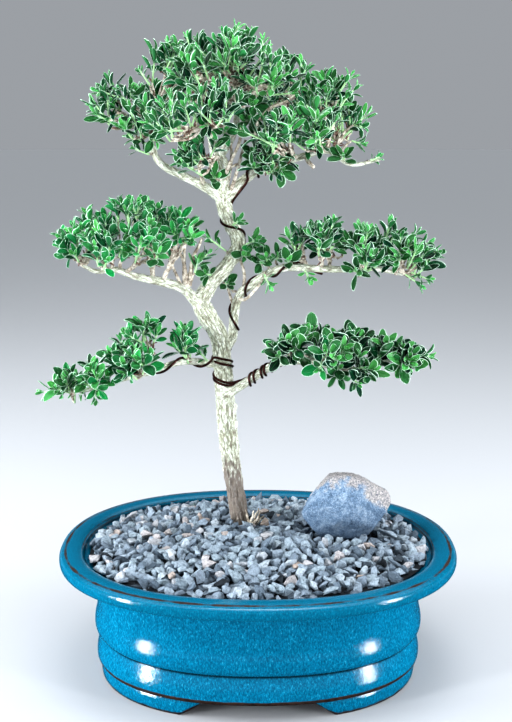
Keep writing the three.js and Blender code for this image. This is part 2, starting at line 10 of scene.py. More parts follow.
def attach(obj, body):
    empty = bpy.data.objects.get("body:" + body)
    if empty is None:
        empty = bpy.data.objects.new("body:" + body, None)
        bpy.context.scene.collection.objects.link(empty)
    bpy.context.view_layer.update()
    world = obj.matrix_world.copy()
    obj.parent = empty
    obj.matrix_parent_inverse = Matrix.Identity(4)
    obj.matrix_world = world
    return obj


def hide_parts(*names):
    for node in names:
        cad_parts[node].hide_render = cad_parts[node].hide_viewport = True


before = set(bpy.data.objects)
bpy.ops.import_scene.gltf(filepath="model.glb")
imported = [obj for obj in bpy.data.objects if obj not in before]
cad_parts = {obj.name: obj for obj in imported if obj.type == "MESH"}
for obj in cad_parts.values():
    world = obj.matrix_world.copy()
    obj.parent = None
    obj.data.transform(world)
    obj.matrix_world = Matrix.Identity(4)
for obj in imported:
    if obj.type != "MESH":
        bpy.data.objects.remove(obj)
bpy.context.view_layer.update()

# Pot
# A slip-cast stoneware oval, about 8 inches over its rolled lip, with two soft bulges in its wall
# and a foot band that is cut away in front and behind, so that it stands on two long feet. It is
# dipped in a turquoise glaze that pools dark in the grooves and breaks brown on the edges.
MM = 0.001
POT_X = 7.0
RIM_HALF_WIDTH = 101.6
RIM_HALF_DEPTH = 80.5
OVAL_POWER = 2.25
UNDERSIDE_Z = 9.2
POT_FLOOR_Z = 15.8


def paint(hex_colour):
    """An sRGB hex colour as linear RGBA."""
    channels = [int(hex_colour[i:i + 2], 16) / 255 for i in (1, 3, 5)]
    linear = [c / 12.92 if c <= 0.04045 else ((c + 0.055) / 1.055) ** 2.4 for c in channels]
    return (*linear, 1.0)


def add_node(material, kind, *links, stops=None, out=None, **settings):
    """Adds a shader node and gives its output. links are values or other nodes' outputs for its inputs
    in their order. A setting with a capital is for the input of that name, any other for the node
    itself. stops are a ramp's places and colours. A surface is joined to the material's own output."""
    tree = material.node_tree
    made = tree.nodes.new("ShaderNode" + kind)
    if kind == "Mix":
        made.data_type = "RGBA"
    named = {}
    for key, value in settings.items():
        if key[0].isupper():
            named[made.inputs[key.replace("_", " ")]] = value
        else:
            setattr(made, key, value)
    open_inputs = [socket for socket in made.inputs if socket.enabled]
    for socket, value in [*zip(open_inputs, links), *named.items()]:
        if isinstance(value, bpy.types.NodeSocket):
            tree.links.new(value, socket)
        else:
            socket.default_value = value
    if stops:
        ramp = made.color_ramp
        while len(ramp.elements) < len(stops):
            ramp.elements.new(0.5)
        for element, (place, colour) in zip(ramp.elements, stops):
            element.position = place
            element.color = paint(colour) if isinstance(colour, str) else (colour, colour, colour, 1)
    if kind == "BsdfPrincipled":
        tree.links.new(made.outputs[0], tree.nodes.new("ShaderNodeOutputMaterial").inputs["Surface"])
    if out:
        return made.outputs[out]
    return next(socket for socket in made.outputs if socket.enabled)


def new_material(name):
    """A material without any node."""
    material = bpy.data.materials.new(name)
    material.use_nodes = True
    material.node_tree.nodes.clear()
    return material


def write_marks(mesh, marks):
    """Stores a number for each point of the mesh under each name, for its material to read."""
    for key, values in marks.items():
        layer = mesh.attributes.new(key, "FLOAT", "POINT")
        layer.data.foreach_set("value", np.asarray(values, np.float32))


def make_piece(name, points, faces, materials, smooth=True, marks=None, slots=None):
    """A mesh object from points in millimetres. slots gives each face the number of its material."""
    mesh = bpy.data.meshes.new(name)
    mesh.from_pydata((np.asarray(points, float) * MM).tolist(), [], faces)
    write_marks(mesh, marks or {})
    for material in materials:
        mesh.materials.append(material)
    if slots is not None:
        mesh.polygons.foreach_set("material_index", np.asarray(slots, np.int32))
    mesh.polygons.foreach_set("use_smooth", [smooth] * len(mesh.polygons))
    mesh.validate()
    made = bpy.data.objects.new(name, mesh)
    bpy.context.scene.collection.objects.link(made)
    return made


def smooth_path(points, steps):
    """A centripetal curve through points, each stretch in equal steps. Columns past the third, such
    as a radius, change evenly."""
    rows = [np.asarray(p, float) for p in points]
    places = [r[:3] for r in rows] if len(rows[0]) > 2 else rows
    ends = [2 * places[0] - places[1], *places, 2 * places[-1] - places[-2]]
    result = []
    for i in range(len(places) - 1):
        p0, p1, p2, p3 = ends[i:i + 4]
        d0, d1, d2 = (math.sqrt(np.linalg.norm(b - a)) for a, b in ((p0, p1), (p1, p2), (p2, p3)))
        m1 = ((p1 - p0) / d0 - (p2 - p0) / (d0 + d1) + (p2 - p1) / d1) * d1
        m2 = ((p2 - p1) / d1 - (p3 - p1) / (d1 + d2) + (p3 - p2) / d2) * d1
        last = i == len(places) - 2
        for k in range(steps + 1 if last else steps):
            t = k / steps
            place = (p1 + m1 * t + (3 * (p2 - p1) - 2 * m1 - m2) * t ** 2
                     + (2 * (p1 - p2) + m1 + m2) * t ** 3)
            rest = rows[i][3:] * (1 - t) + rows[i + 1][3:] * t
            result.append(np.concatenate([place, rest]) if len(rows[0]) > 2 else place)
    return np.array(result)


def oval_points(inset, angles, trim=0.0):
    """Points of the rim's outline, moved in by inset, and by trim more in front and behind."""
    c, s = np.cos(angles), np.sin(angles)
    x = (RIM_HALF_WIDTH - inset) * np.sign(c) * np.abs(c) ** (2 / OVAL_POWER)
    y = (RIM_HALF_DEPTH - inset - trim) * np.sign(s) * np.abs(s) ** (2 / OVAL_POWER)
    return POT_X + x, y


def ring_faces(rings, count, first=0, close=False):
    """Quads between rings of count points each, which start at the point first."""
    faces = []
    for r in range(rings if close else rings - 1):
        low = first + r * count
        high = first + ((r + 1) % rings) * count
        for i in range(count):
            j = (i + 1) % count
            faces.append((low + i, low + j, high + j, high + i))
    return faces


def end_faces(rings, count, first, low):
    """Triangles that close the first ring with the point low and the last ring with the point after."""
    faces = []
    last = first + (rings - 1) * count
    for i in range(count):
        j = (i + 1) % count
        faces.append((low, first + j, first + i))
        faces.append((low + 1, last + i, last + j))
    return faces


WALL_STEPS = 3
# The wall's section as [inset from the lip's edge, height], from the underside, up the outside,
# over the lip and down the inside.
wall = smooth_path([
    (20.6, UNDERSIDE_Z), (19.2, 9.25), (18.4, 9.5), (17.8, 10.2), (17.5, 11.4), (17.5, 13), (17.7, 15),
    (18.1, 17.2), (18.7, 19.4), (19.3, 21.4), (19.7, 22.6), (19.9, 23.4), (19.5, 24), (18.7, 24.5),
    (17.6, 25.6), (17, 27), (16.75, 28.8), (16.8, 30.6), (17.1, 32.6), (17.6, 34.8), (18, 37),
    (18.2, 40), (18.2, 45), (18, 51), (17.7, 56), (17.4, 59), (16.9, 60), (15.4, 60.35),
    (11, 60.4), (5.5, 60.4), (2.7, 60.6), (1, 61.4), (0.15, 62.8), (0, 64.4), (0.15, 65.8),
    (0.7, 66.8), (1.7, 67.4), (3.2, 67.75), (5, 68), (7, 68.05), (9.4, 67.8), (11, 67.2),
    (11.8, 66.2), (12.2, 65.2), (13, 64.2), (16, 63.2), (20.5, 61.5), (22, 57), (22.8, 40),
    (23.6, 21), (24.8, 18.6), (27, POT_FLOOR_Z), (34, POT_FLOOR_Z),
], WALL_STEPS)
POT_SIDES = 240
angles = np.linspace(0, 2 * np.pi, POT_SIDES, endpoint=False)
pot_points = []
for inset, z in wall:
    x, y = oval_points(inset, angles)
    pot_points.extend(zip(x, y, np.full(POT_SIDES, z)))

# Where the glaze runs thin over an edge, where it pools and where a painted shadow falls, as
# [strength, places on the section, how far the mark reaches].
THIN_SPOTS = [
    (0.72, [(3, 67.7), (3.4, 67.8)], 0.8), (1, [(17.6, 10.8), (17.9, 10), (18.6, 9.4)], 1.1),
    (0.7, [(11.4, 66.8)], 0.5),
]
# The glaze pools in the groove and at the lip's inner edge. The weaker, wider spot just under the lip is a
# painted shadow.
POOL_AND_SHADOW_SPOTS = [(1, [(19.9, 23.4)], 0.7), (0.9, [(12.2, 65.2)], 1), (0.5, [(17.2, 59.6)], 2.2)]
BARE_BELOW_Z = 9.4
BARE_FROM_INSET = 18.8


def section_mark(spots):
    """A mark for each point of the section, strongest at the spots."""
    total = np.zeros(len(wall))
    for strength, places, reach in spots:
        gaps = [np.hypot(wall[:, 0] - inset, wall[:, 1] - z) for inset, z in places]
        total += strength * np.exp(-(np.min(gaps, axis=0) / reach) ** 2)
    return total


worn = section_mark(THIN_SPOTS) + ((wall[:, 1] < BARE_BELOW_Z) & (wall[:, 0] > BARE_FROM_INSET))
pooled_and_shadowed = section_mark(POOL_AND_SHADOW_SPOTS)
pot_faces = ring_faces(len(wall), POT_SIDES)
pot_worn = list(np.repeat(worn, POT_SIDES))
pot_pooled_and_shadowed = list(np.repeat(pooled_and_shadowed, POT_SIDES))
for ring, z, turn in ((0, UNDERSIDE_Z, 1), (len(wall) - 1, POT_FLOOR_Z, -1)):
    centre = len(pot_points)
    pot_points.append((POT_X, 0, z))
    pot_worn.append(1.0)
    pot_pooled_and_shadowed.append(0.0)
    for i in range(POT_SIDES):
        pair = (ring * POT_SIDES + (i + 1) % POT_SIDES, ring * POT_SIDES + i)
        pot_faces.append((centre, *pair[::turn]))

# Glazed stoneware: a turquoise glaze over an iron-brown body. Fine pale and dark flecks float in it,
# it is nearly black-green where it pools, and the body shows where it is thin. The upper wall under
# the rim and the lip are painted darker as painted shade, a painted shadow lies just under the lip,
# and a painted contact shadow darkens the foot's lower edge. A noise scale, here and on every piece
# but the flaking bark, is in repeats a metre: a fleck at 1500 is about 0.7 mm long.
glaze = new_material("glazed stoneware")
place = add_node(glaze, "TexCoord", out="Object")
runs = add_node(glaze, "Mapping", place, Scale=(1, 1, 0.45))
flecks = add_node(glaze, "TexNoise", runs, Scale=1500, Detail=3, Roughness=0.7)
drift = add_node(glaze, "TexNoise", place, Scale=55, Detail=4, Roughness=0.6)
fleck_tone = add_node(glaze, "ValToRGB", flecks, stops=[
    (0.3, "#00374b"), (0.43, "#005672"), (0.55, "#007092"), (0.64, "#058eb0"), (0.74, "#55c4dc")])
drift_tone = add_node(glaze, "ValToRGB", drift, stops=[(0.3, "#005974"), (0.7, "#007092")])
body_tone = add_node(glaze, "Mix", 0.35, fleck_tone, drift_tone)
height = add_node(glaze, "SeparateXYZ", place, out="Z")
# Painted shade: the upper wall under the rim and the lip are painted darker toward the top. The mark thick
# is this painted shade, not a thicker glaze.
thick = add_node(glaze, "MapRange", height, From_Min=0.052, From_Max=0.067, To_Max=0.5)
rim_shaded_tone = add_node(glaze, "Mix", thick, body_tone, paint("#005468"))
# This mark darkens the glaze where it pools, and paints the shadow under the lip.
pool_and_shadow_mark = add_node(glaze, "Attribute", attribute_name="pooled_and_shadowed", out="Fac")
pool_and_shadow = add_node(glaze, "Mix", pool_and_shadow_mark, rim_shaded_tone, paint("#02232f"), clamp_factor=True)
# The worn mark is the bare clay where the glaze breaks and under the foot, and on the foot's lower edge
# also a painted contact shadow.
worn_and_foot_shadow_mark = add_node(glaze, "Attribute", attribute_name="worn", out="Fac")
break_up = add_node(glaze, "TexNoise", place, Scale=110, Detail=6, Roughness=0.6)
ragged = add_node(glaze, "Math", worn_and_foot_shadow_mark, break_up, operation="ADD")
worn_and_foot_shadow_edge = add_node(glaze, "MapRange", ragged, From_Min=0.96, From_Max=1.16)
clay_noise = add_node(glaze, "TexNoise", place, Scale=500, Detail=5)
clay_tone = add_node(glaze, "ValToRGB", clay_noise, stops=[(0.3, "#120b09"), (0.7, "#40291f")])
final_tone = add_node(glaze, "Mix", worn_and_foot_shadow_edge, pool_and_shadow, clay_tone)
gloss = add_node(glaze, "MapRange", worn_and_foot_shadow_edge, To_Min=0.14, To_Max=0.55)
ripple = add_node(glaze, "TexNoise", place, Scale=420, Detail=5, Roughness=0.6)
bump = add_node(glaze, "Bump", Height=ripple, Strength=0.26, Distance=0.0005)
add_node(glaze, "BsdfPrincipled", final_tone, Roughness=gloss, Normal=bump, IOR=1.5,
    Specular_IOR_Level=0.45)

pot = make_piece("glazed_oval_pot", pot_points, pot_faces, [glaze],
                 marks={"worn": pot_worn, "pooled_and_shadowed": pot_pooled_and_shadowed})

# Two drain holes go through the floor.
DRAIN_RADIUS = 7
DRAIN_OUT = 40
DRILL_DEPTH = 20
for side in (-1, 1):
    bpy.ops.mesh.primitive_cylinder_add(
        vertices=48, radius=DRAIN_RADIUS * MM, depth=DRILL_DEPTH * MM,
        location=((POT_X + side * DRAIN_OUT) * MM, 0, POT_FLOOR_Z * MM))
    drill = bpy.context.object
    cut = pot.modifiers.new("drain hole", "BOOLEAN")
    cut.operation = "DIFFERENCE"
    cut.object = drill
    cut.solver = "EXACT"
    with bpy.context.temp_override(object=pot, active_object=pot):
        bpy.ops.object.modifier_apply(modifier=cut.name)
    bpy.data.objects.remove(drill)
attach(pot, "root")
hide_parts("pot")

# The foot band: its lower edge lifts in an ogee to the underside at the cut-outs.
FOOT_INSET = 19.3
FOOT_TRIM = 1.2
FOOT_CUT_LOW = 38.0
FOOT_CUT_TOP = 21.0
FOOT_TOP_Z = UNDERSIDE_Z + 0.5
FOOT_SIDES = 400
OGEE_BREAK = 0.3
OGEE_SLOPE = 1.3
# The band's section as [further inset, share of its height, how bare of glaze it is], from the outer
# top round the standing edge to the inner top.
# The line just above the standing edge is bare clay, darkened further as a painted contact shadow.
FOOT_SECTION = [
    (0.1, 1, 0), (0, 0.6, 0), (0.1, 0.32, 0), (0.4, 0.1, 0.7), (1, 0, 1), (4, 0, 1),
    (8, 0, 1), (9, 0.12, 1), (9.4, 0.6, 1), (9.4, 1, 1),
]
foot_angles = np.linspace(0, 2 * np.pi, FOOT_SIDES, endpoint=False)
band_x, _ = oval_points(FOOT_INSET, foot_angles)
rise = np.clip((FOOT_CUT_LOW - np.abs(band_x - POT_X)) / (FOOT_CUT_LOW - FOOT_CUT_TOP), 0, 1)
ogee_low = OGEE_BREAK * OGEE_SLOPE
ogee_turn = np.sin((rise - OGEE_BREAK) / (1 - OGEE_BREAK) * np.pi / 2)
rise = np.where(rise < OGEE_BREAK, rise * OGEE_SLOPE, ogee_low + (1 - ogee_low) * ogee_turn)
lift = rise * FOOT_TOP_Z
foot_points, foot_worn_and_shadow = [], []
for inset, share, bare in FOOT_SECTION:
    x, y = oval_points(FOOT_INSET + inset, foot_angles, FOOT_TRIM)
    z = lift + share * (FOOT_TOP_Z - lift)
    foot_points.extend(zip(x, y, z))
    cut_edge = np.clip(1.2 - (z - lift) / 0.9, 0, 1) * (rise > 0.02)
    foot_worn_and_shadow.extend(np.maximum(bare, cut_edge))
foot_faces = ring_faces(len(foot_points) // FOOT_SIDES, FOOT_SIDES, close=True)

foot = make_piece("foot_band", foot_points, foot_faces, [glaze],
                  marks={"worn": foot_worn_and_shadow, "pooled_and_shadowed": np.zeros(len(foot_worn_and_shadow))})
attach(foot, "root")
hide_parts("pot")

# Drain screens
# Two squares of moulded black polyethylene mesh, one over each drain hole. They are laid in loose
# before the soil, which holds them down.

# Moulded polyethylene: near-black and half matt, with a faint grain.
polyethylene = new_material("moulded polyethylene mesh")
place = add_node(polyethylene, "TexCoord", out="Object")
grain = add_node(polyethylene, "TexNoise", place, Scale=1500, Detail=2)
tone = add_node(polyethylene, "ValToRGB", grain, stops=[(0.3, "#0d0d0e"), (0.7, "#1f1f21")])
add_node(polyethylene, "BsdfPrincipled", tone, Roughness=0.55)
for side in ("left", "right"):
    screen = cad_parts["drain_screen_" + side]
    screen.data.materials.clear()
    screen.data.materials.append(polyethylene)

# Soil
# A granular mix of baked clay and bark, poured in round the roots and settled by watering. It fills
# the pot up to the gravel.

# Damp potting mix: dark brown crumbs of about 3 mm, matt, with painted shade darkening the gaps
# between them.
potting_mix = new_material("granular potting mix")
place = add_node(potting_mix, "TexCoord", out="Object")
crumbs = add_node(potting_mix, "TexVoronoi", place, Scale=350)
tone = add_node(potting_mix, "ValToRGB", crumbs, stops=[(0, "#5a4433"), (0.6, "#1e150f")])
bump = add_node(potting_mix, "Bump", Height=crumbs, Strength=0.8, Distance=0.0015)
add_node(potting_mix, "BsdfPrincipled", tone, Roughness=0.95, Normal=bump)
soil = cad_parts["soil"]
soil.data.materials.clear()
soil.data.materials.append(potting_mix)

# Gravel
# A dressing of crushed schist, sieved at 4 to 6 mm, poured on the soil and banked up a little round
# the trunk. The chips are flat-sided and lie at all angles, blue-grey with a few tan and pink ones.
GRAVEL_EDGE_Z = 66.1
GRAVEL_DOME = 6.2
GRAVEL_INSET = 12
TRUNK_X, TRUNK_Y = -2.6, 18.0
TRUNK_CLEARANCE = 5.4
STONE_AT = np.array([52.5, 4.0, 84.6])
STONE_FOOT_X, STONE_FOOT_Y = 19, 13
CHIP_CORNERS = 13
CHIP_VARIANTS = 40
draw = random.Random(11)


def unit(vector):
    return vector / np.linalg.norm(vector)


def gravel_level(x, y):
    """The height of the gravel's surface."""
    across = (x - POT_X) / (RIM_HALF_WIDTH - GRAVEL_INSET)
    deep = y / (RIM_HALF_DEPTH - GRAVEL_INSET)
    return GRAVEL_EDGE_Z + GRAVEL_DOME * np.maximum(0, 1 - across ** 2 - deep ** 2)


def chip_shape():
    """An angular chip of radius 1, before it is scaled: points and faces of the hull of some points."""
    shape = bmesh.new()
    for _ in range(CHIP_CORNERS):
        way = Vector((draw.gauss(0, 1), draw.gauss(0, 1), draw.gauss(0, 1))).normalized()
        shape.verts.new(way * draw.uniform(0.85, 1.1))
    result = bmesh.ops.convex_hull(shape, input=shape.verts)
    inside = [v for v in result["geom_interior"] if isinstance(v, bmesh.types.BMVert)]
    bmesh.ops.delete(shape, geom=inside, context="VERTS")
    shape.verts.index_update()
    points = np.array([v.co for v in shape.verts])
    faces = [[v.index for v in f.verts] for f in shape.faces]
    shape.free()
    return points, faces


def chip_turn():
    """A random rotation matrix that leaves most chips lying rather flat."""
    q = np.array([draw.gauss(0, 1), draw.gauss(0, 0.42), draw.gauss(0, 0.42), draw.gauss(0, 1)])
    w, x, y, z = unit(q)
    return np.array([
        [1 - 2 * (y * y + z * z), 2 * (x * y - z * w), 2 * (x * z + y * w)],
        [2 * (x * y + z * w), 1 - 2 * (x * x + z * z), 2 * (y * z - x * w)],
        [2 * (x * z - y * w), 2 * (y * z + x * w), 1 - 2 * (x * x + y * y)]])


def lies_in_pot(x, y, inset):
    across = abs(x - POT_X) / (RIM_HALF_WIDTH - inset)
    deep = abs(y) / (RIM_HALF_DEPTH - inset)
    return across ** OVAL_POWER + deep ** OVAL_POWER < 1


# The chips lie in rows, each a half step on from the last and strewn by up to CHIP_STRAY, in three
# layers, as [sink below the surface, inset from the rim, how pale its chips may be].
# The lower layers' chips are held darker as painted shade, seen in the gaps between the top chips.
CHIP_LAYERS = ((4.6, 14.8, 0.25), (2.5, 14.8, 0.6), (0.4, 15.2, 1.0))
CHIP_PITCH = 5.5
ROW_PITCH = CHIP_PITCH * 0.87
CHIP_STRAY = 1.6
SMALL_SHARE = 0.8
SMALL_CHIPS = (2.2, 3.0)
BIG_CHIPS = (3.1, 3.8)
chip_shapes = [chip_shape() for _ in range(CHIP_VARIANTS)]
chip_points, chip_faces, chip_shade = [], [], []
columns = int(2 * RIM_HALF_WIDTH / CHIP_PITCH)
rows = int(2 * RIM_HALF_DEPTH / ROW_PITCH)
for layer, (sink, margin, palest_under_painted_shade) in enumerate(CHIP_LAYERS):
    for r in range(rows):
        for c in range(columns):
            column = c - columns / 2 + 0.5 * (r % 2) + 0.3 * layer
            x = POT_X + column * CHIP_PITCH + draw.uniform(-CHIP_STRAY, CHIP_STRAY)
            y = (r - rows / 2 + 0.4 * layer) * ROW_PITCH + draw.uniform(-CHIP_STRAY, CHIP_STRAY)
            sizes = SMALL_CHIPS if draw.random() < SMALL_SHARE else BIG_CHIPS
            size = draw.uniform(*sizes)
            flat = draw.uniform(0.55, 0.9)
            long = draw.uniform(1.15, 1.8)
            tilt = chip_turn()
            # The layer's painted shade caps how pale a chip may be.
            shade = draw.random() * palest_under_painted_shade
            level = draw.uniform(-0.9, 1.1)
            if not lies_in_pot(x, y, margin + size * 0.3):
                continue
            if math.hypot(x - TRUNK_X, y - TRUNK_Y) < TRUNK_CLEARANCE + size * 0.6:
                continue
            stone_x = (x - STONE_AT[0]) / STONE_FOOT_X
            stone_y = (y - STONE_AT[1]) / STONE_FOOT_Y
            if layer and stone_x ** 2 + stone_y ** 2 < 1:
                continue
            points, faces = chip_shapes[draw.randrange(len(chip_shapes))]
            centre = np.array([x, y, gravel_level(x, y) - sink + level])
            base = len(chip_points)
            chip_points.extend((points * [size * long, size, size * flat]) @ tilt.T + centre)
            chip_faces.extend([[base + v for v in f] for f in faces])
            chip_shade.extend([shade] * len(points))

# Under the chips a bed of the same stone, painted nearly black as a painted shadow, closes the
# layer down to the soil.
BED_SIDES = 96
BED_INSET = 15.2
BED_LOW_Z = 58.3
BED_SINK = 3.4
BED_EDGE = [(22.3, BED_LOW_Z), (22.3, 63.2), (BED_INSET, 64.6)]
BED_SHARES = (0.8, 0.6, 0.4, 0.2)
bed_angles = np.linspace(0, 2 * np.pi, BED_SIDES, endpoint=False)
base = len(chip_points)
for inset, z in BED_EDGE:
    x, y = oval_points(inset, bed_angles)
    chip_points.extend(zip(x, y, np.full(BED_SIDES, z)))
bed_x, bed_y = oval_points(BED_INSET, bed_angles)
for share in BED_SHARES:
    x = POT_X + (bed_x - POT_X) * share
    y = bed_y * share
    chip_points.extend(zip(x, y, gravel_level(x, y) - BED_SINK))
bed_rings = len(BED_EDGE) + len(BED_SHARES)
chip_faces += ring_faces(bed_rings, BED_SIDES, base)
chip_faces += end_faces(bed_rings, BED_SIDES, base, len(chip_points))
chip_points += [(POT_X, 0, BED_LOW_Z), (POT_X, 0, gravel_level(POT_X, 0) - BED_SINK)]
# The bed's points get the darkest tone, a painted shadow.
chip_shade += [0.0] * (len(chip_points) - len(chip_shade))

# Crushed schist: a matt, slightly micaceous blue-grey stone, each chip its own tone. Its darkest
# tones are painted shade, on the lower layers and on the bed.
schist = new_material("crushed schist")
place = add_node(schist, "TexCoord", out="Object")
shade_mark = add_node(schist, "Attribute", attribute_name="shade", out="Fac")
chip_tone = add_node(schist, "ValToRGB", shade_mark, stops=[
    (0, "#12171c"), (0.03, "#5f6d79"), (0.25, "#818e9a"), (0.5, "#9dabb6"), (0.7, "#92a1aa"),
    (0.88, "#b5c0c8"), (0.965, "#b5afae"), (1, "#b0a094")])
mottle = add_node(schist, "TexNoise", place, Scale=700, Detail=5, Roughness=0.7)
mottle_tone = add_node(schist, "ValToRGB", mottle, stops=[(0.36, 0.25), (0.47, 0.72), (0.6, 1)])
schist_tone = add_node(schist, "Mix", 0.75, chip_tone, mottle_tone, blend_type="MULTIPLY")
bump = add_node(schist, "Bump", Height=mottle, Strength=0.8, Distance=0.0009)
add_node(schist, "BsdfPrincipled", schist_tone, Roughness=0.82, Normal=bump)
gravel = make_piece("gravel_chips", chip_points, chip_faces, [schist], smooth=False,
                    marks={"shade": chip_shade})
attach(gravel, "root")
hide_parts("gravel")

# Stone
# One fist-shaped piece of fine granite, set on the gravel right of the trunk. Its face is blue-grey
# and speckled, and a cream weathered crust caps its top and right shoulder.
EDGE_SHARPNESS = 30
STONE_REACH = 26.0
STONE_LOW_Z = 69.7
STONE_DETAIL = 6
# The flat faces as [the way each looks, its distance from the middle].
STONE_FACETS = [
    ((0, 0, -1), 15), ((-0.74, -0.14, -0.66), 20), ((0.5, -0.18, -0.84), 18.5),
    ((0.82, -0.12, -0.56), 17.6), ((0.98, 0.04, 0.21), 24.2), ((0.4, 0.19, 0.89), 17.4),
    ((-0.07, 0.21, 0.97), 17.4), ((-0.74, 0.14, 0.65), 17.6), ((-0.88, 0.1, 0.46), 19.4),
    ((-0.35, -0.87, 0.34), 14.2), ((0.3, -0.86, 0.4), 13.8), ((0, -0.92, -0.38), 15.2),
    ((-0.1, 0.98, 0.1), 14), ((-0.7, 0.7, 0.1), 17), ((0.72, 0.66, 0.2), 17.5),
]


def ball_mesh(subdivisions):
    """Points and faces of a ball of radius 1."""
    ball = bmesh.new()
    bmesh.ops.create_icosphere(ball, subdivisions=subdivisions, radius=1)
    points = np.array([v.co for v in ball.verts])
    faces = [[v.index for v in f.verts] for f in ball.faces]
    ball.free()
    return points, faces


ball_points, stone_faces = ball_mesh(STONE_DETAIL)
ways = np.array([Vector(point).normalized() for point in ball_points])
reach = np.full(len(ways), STONE_REACH ** -EDGE_SHARPNESS)
for way, distance in STONE_FACETS:
    facing = ways @ unit(np.array(way))
    reach += (np.maximum(facing, 0.0) / distance) ** EDGE_SHARPNESS
stone_reach = reach ** (-1 / EDGE_SHARPNESS)
rough, crust = [], []
for way, r in zip(ways, stone_reach):
    spot = Vector(way * r)
    swell = noise.fractal(spot * 0.11, 1.0, 2.0, 4)
    pits = noise.fractal(spot * 0.9, 0.9, 2.1, 4)
    rough.append(0.9 * swell + 0.4 * pits)
    behind = way[1] + 0.9 * way[2] + 0.15 * way[0] + 1.2 * max(0, way[0] - 0.5)
    crust.append(behind + 0.28 * noise.fractal(spot * 0.2, 1.0, 2.0, 3))
stone_points = ways * (stone_reach + np.array(rough) - 0.4)[:, None] + STONE_AT
stone_points[:, 2] = np.maximum(stone_points[:, 2], STONE_LOW_Z)

# Speckled granite: fine blue-grey feldspar and dark mica under a chalky cream crust.
granite = new_material("weathered granite")
place = add_node(granite, "TexCoord", out="Object")
specks = add_node(granite, "TexNoise", place, Scale=1250, Detail=5, Roughness=0.85)
speck_tone = add_node(granite, "ValToRGB", specks, stops=[
    (0.32, "#131b25"), (0.43, "#40556a"), (0.54, "#6f8ba5"), (0.66, "#cfdce6")])
clouds = add_node(granite, "TexNoise", place, Scale=220, Detail=5, Roughness=0.75)
cloud_tone = add_node(granite, "ValToRGB", clouds, stops=[
    (0.36, "#34475d"), (0.48, "#6c86a1"), (0.6, "#b7c8d6")])
face_tone = add_node(granite, "Mix", 0.42, speck_tone, cloud_tone)
crust_mark = add_node(granite, "Attribute", attribute_name="crust", out="Fac")
ragged = add_node(granite, "Math", crust_mark, clouds, operation="ADD")
crust_edge = add_node(granite, "MapRange", ragged, From_Min=0.74, From_Max=0.96)
crust_tone = add_node(granite, "ValToRGB", specks, stops=[
    (0.34, "#40464f"), (0.44, "#74757a"), (0.53, "#a09a96"), (0.64, "#dad4cd")])
low = add_node(granite, "SeparateXYZ", place, out="Z")
# The stone is painted darker toward its bottom.
darker_low = add_node(granite, "MapRange", low, From_Min=0.096, From_Max=0.074, To_Max=0.75)
low_darkened_tone = add_node(granite, "Mix", darker_low, face_tone, paint("#2c3b4c"))
stone_tone = add_node(granite, "Mix", crust_edge, low_darkened_tone, crust_tone)
bump = add_node(granite, "Bump", Height=specks, Strength=0.6, Distance=0.0006)
add_node(granite, "BsdfPrincipled", stone_tone, Roughness=0.8, Normal=bump)
stone = make_piece("accent_stone", stone_points, stone_faces, [granite], marks={"crust": crust})
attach(stone, "root")
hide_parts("stone")

# Tree
# A field-grown serissa, trunk and limbs in one: dead-looking cream bark that splits into long
# flakes, brown where watering keeps it damp. It was planted through the gravel into the soil, and
# old shoots at its foot were cut back to pale stubs.
SAMPLE_STEPS = 12
BARK_VOXEL = 0.5
LIMB_FLARE = 0.35
WOOD_SIDES = 20
TRUNK_KNOBS = 22
LIMB_KNOBS = 7
KNOB_DETAIL = 2
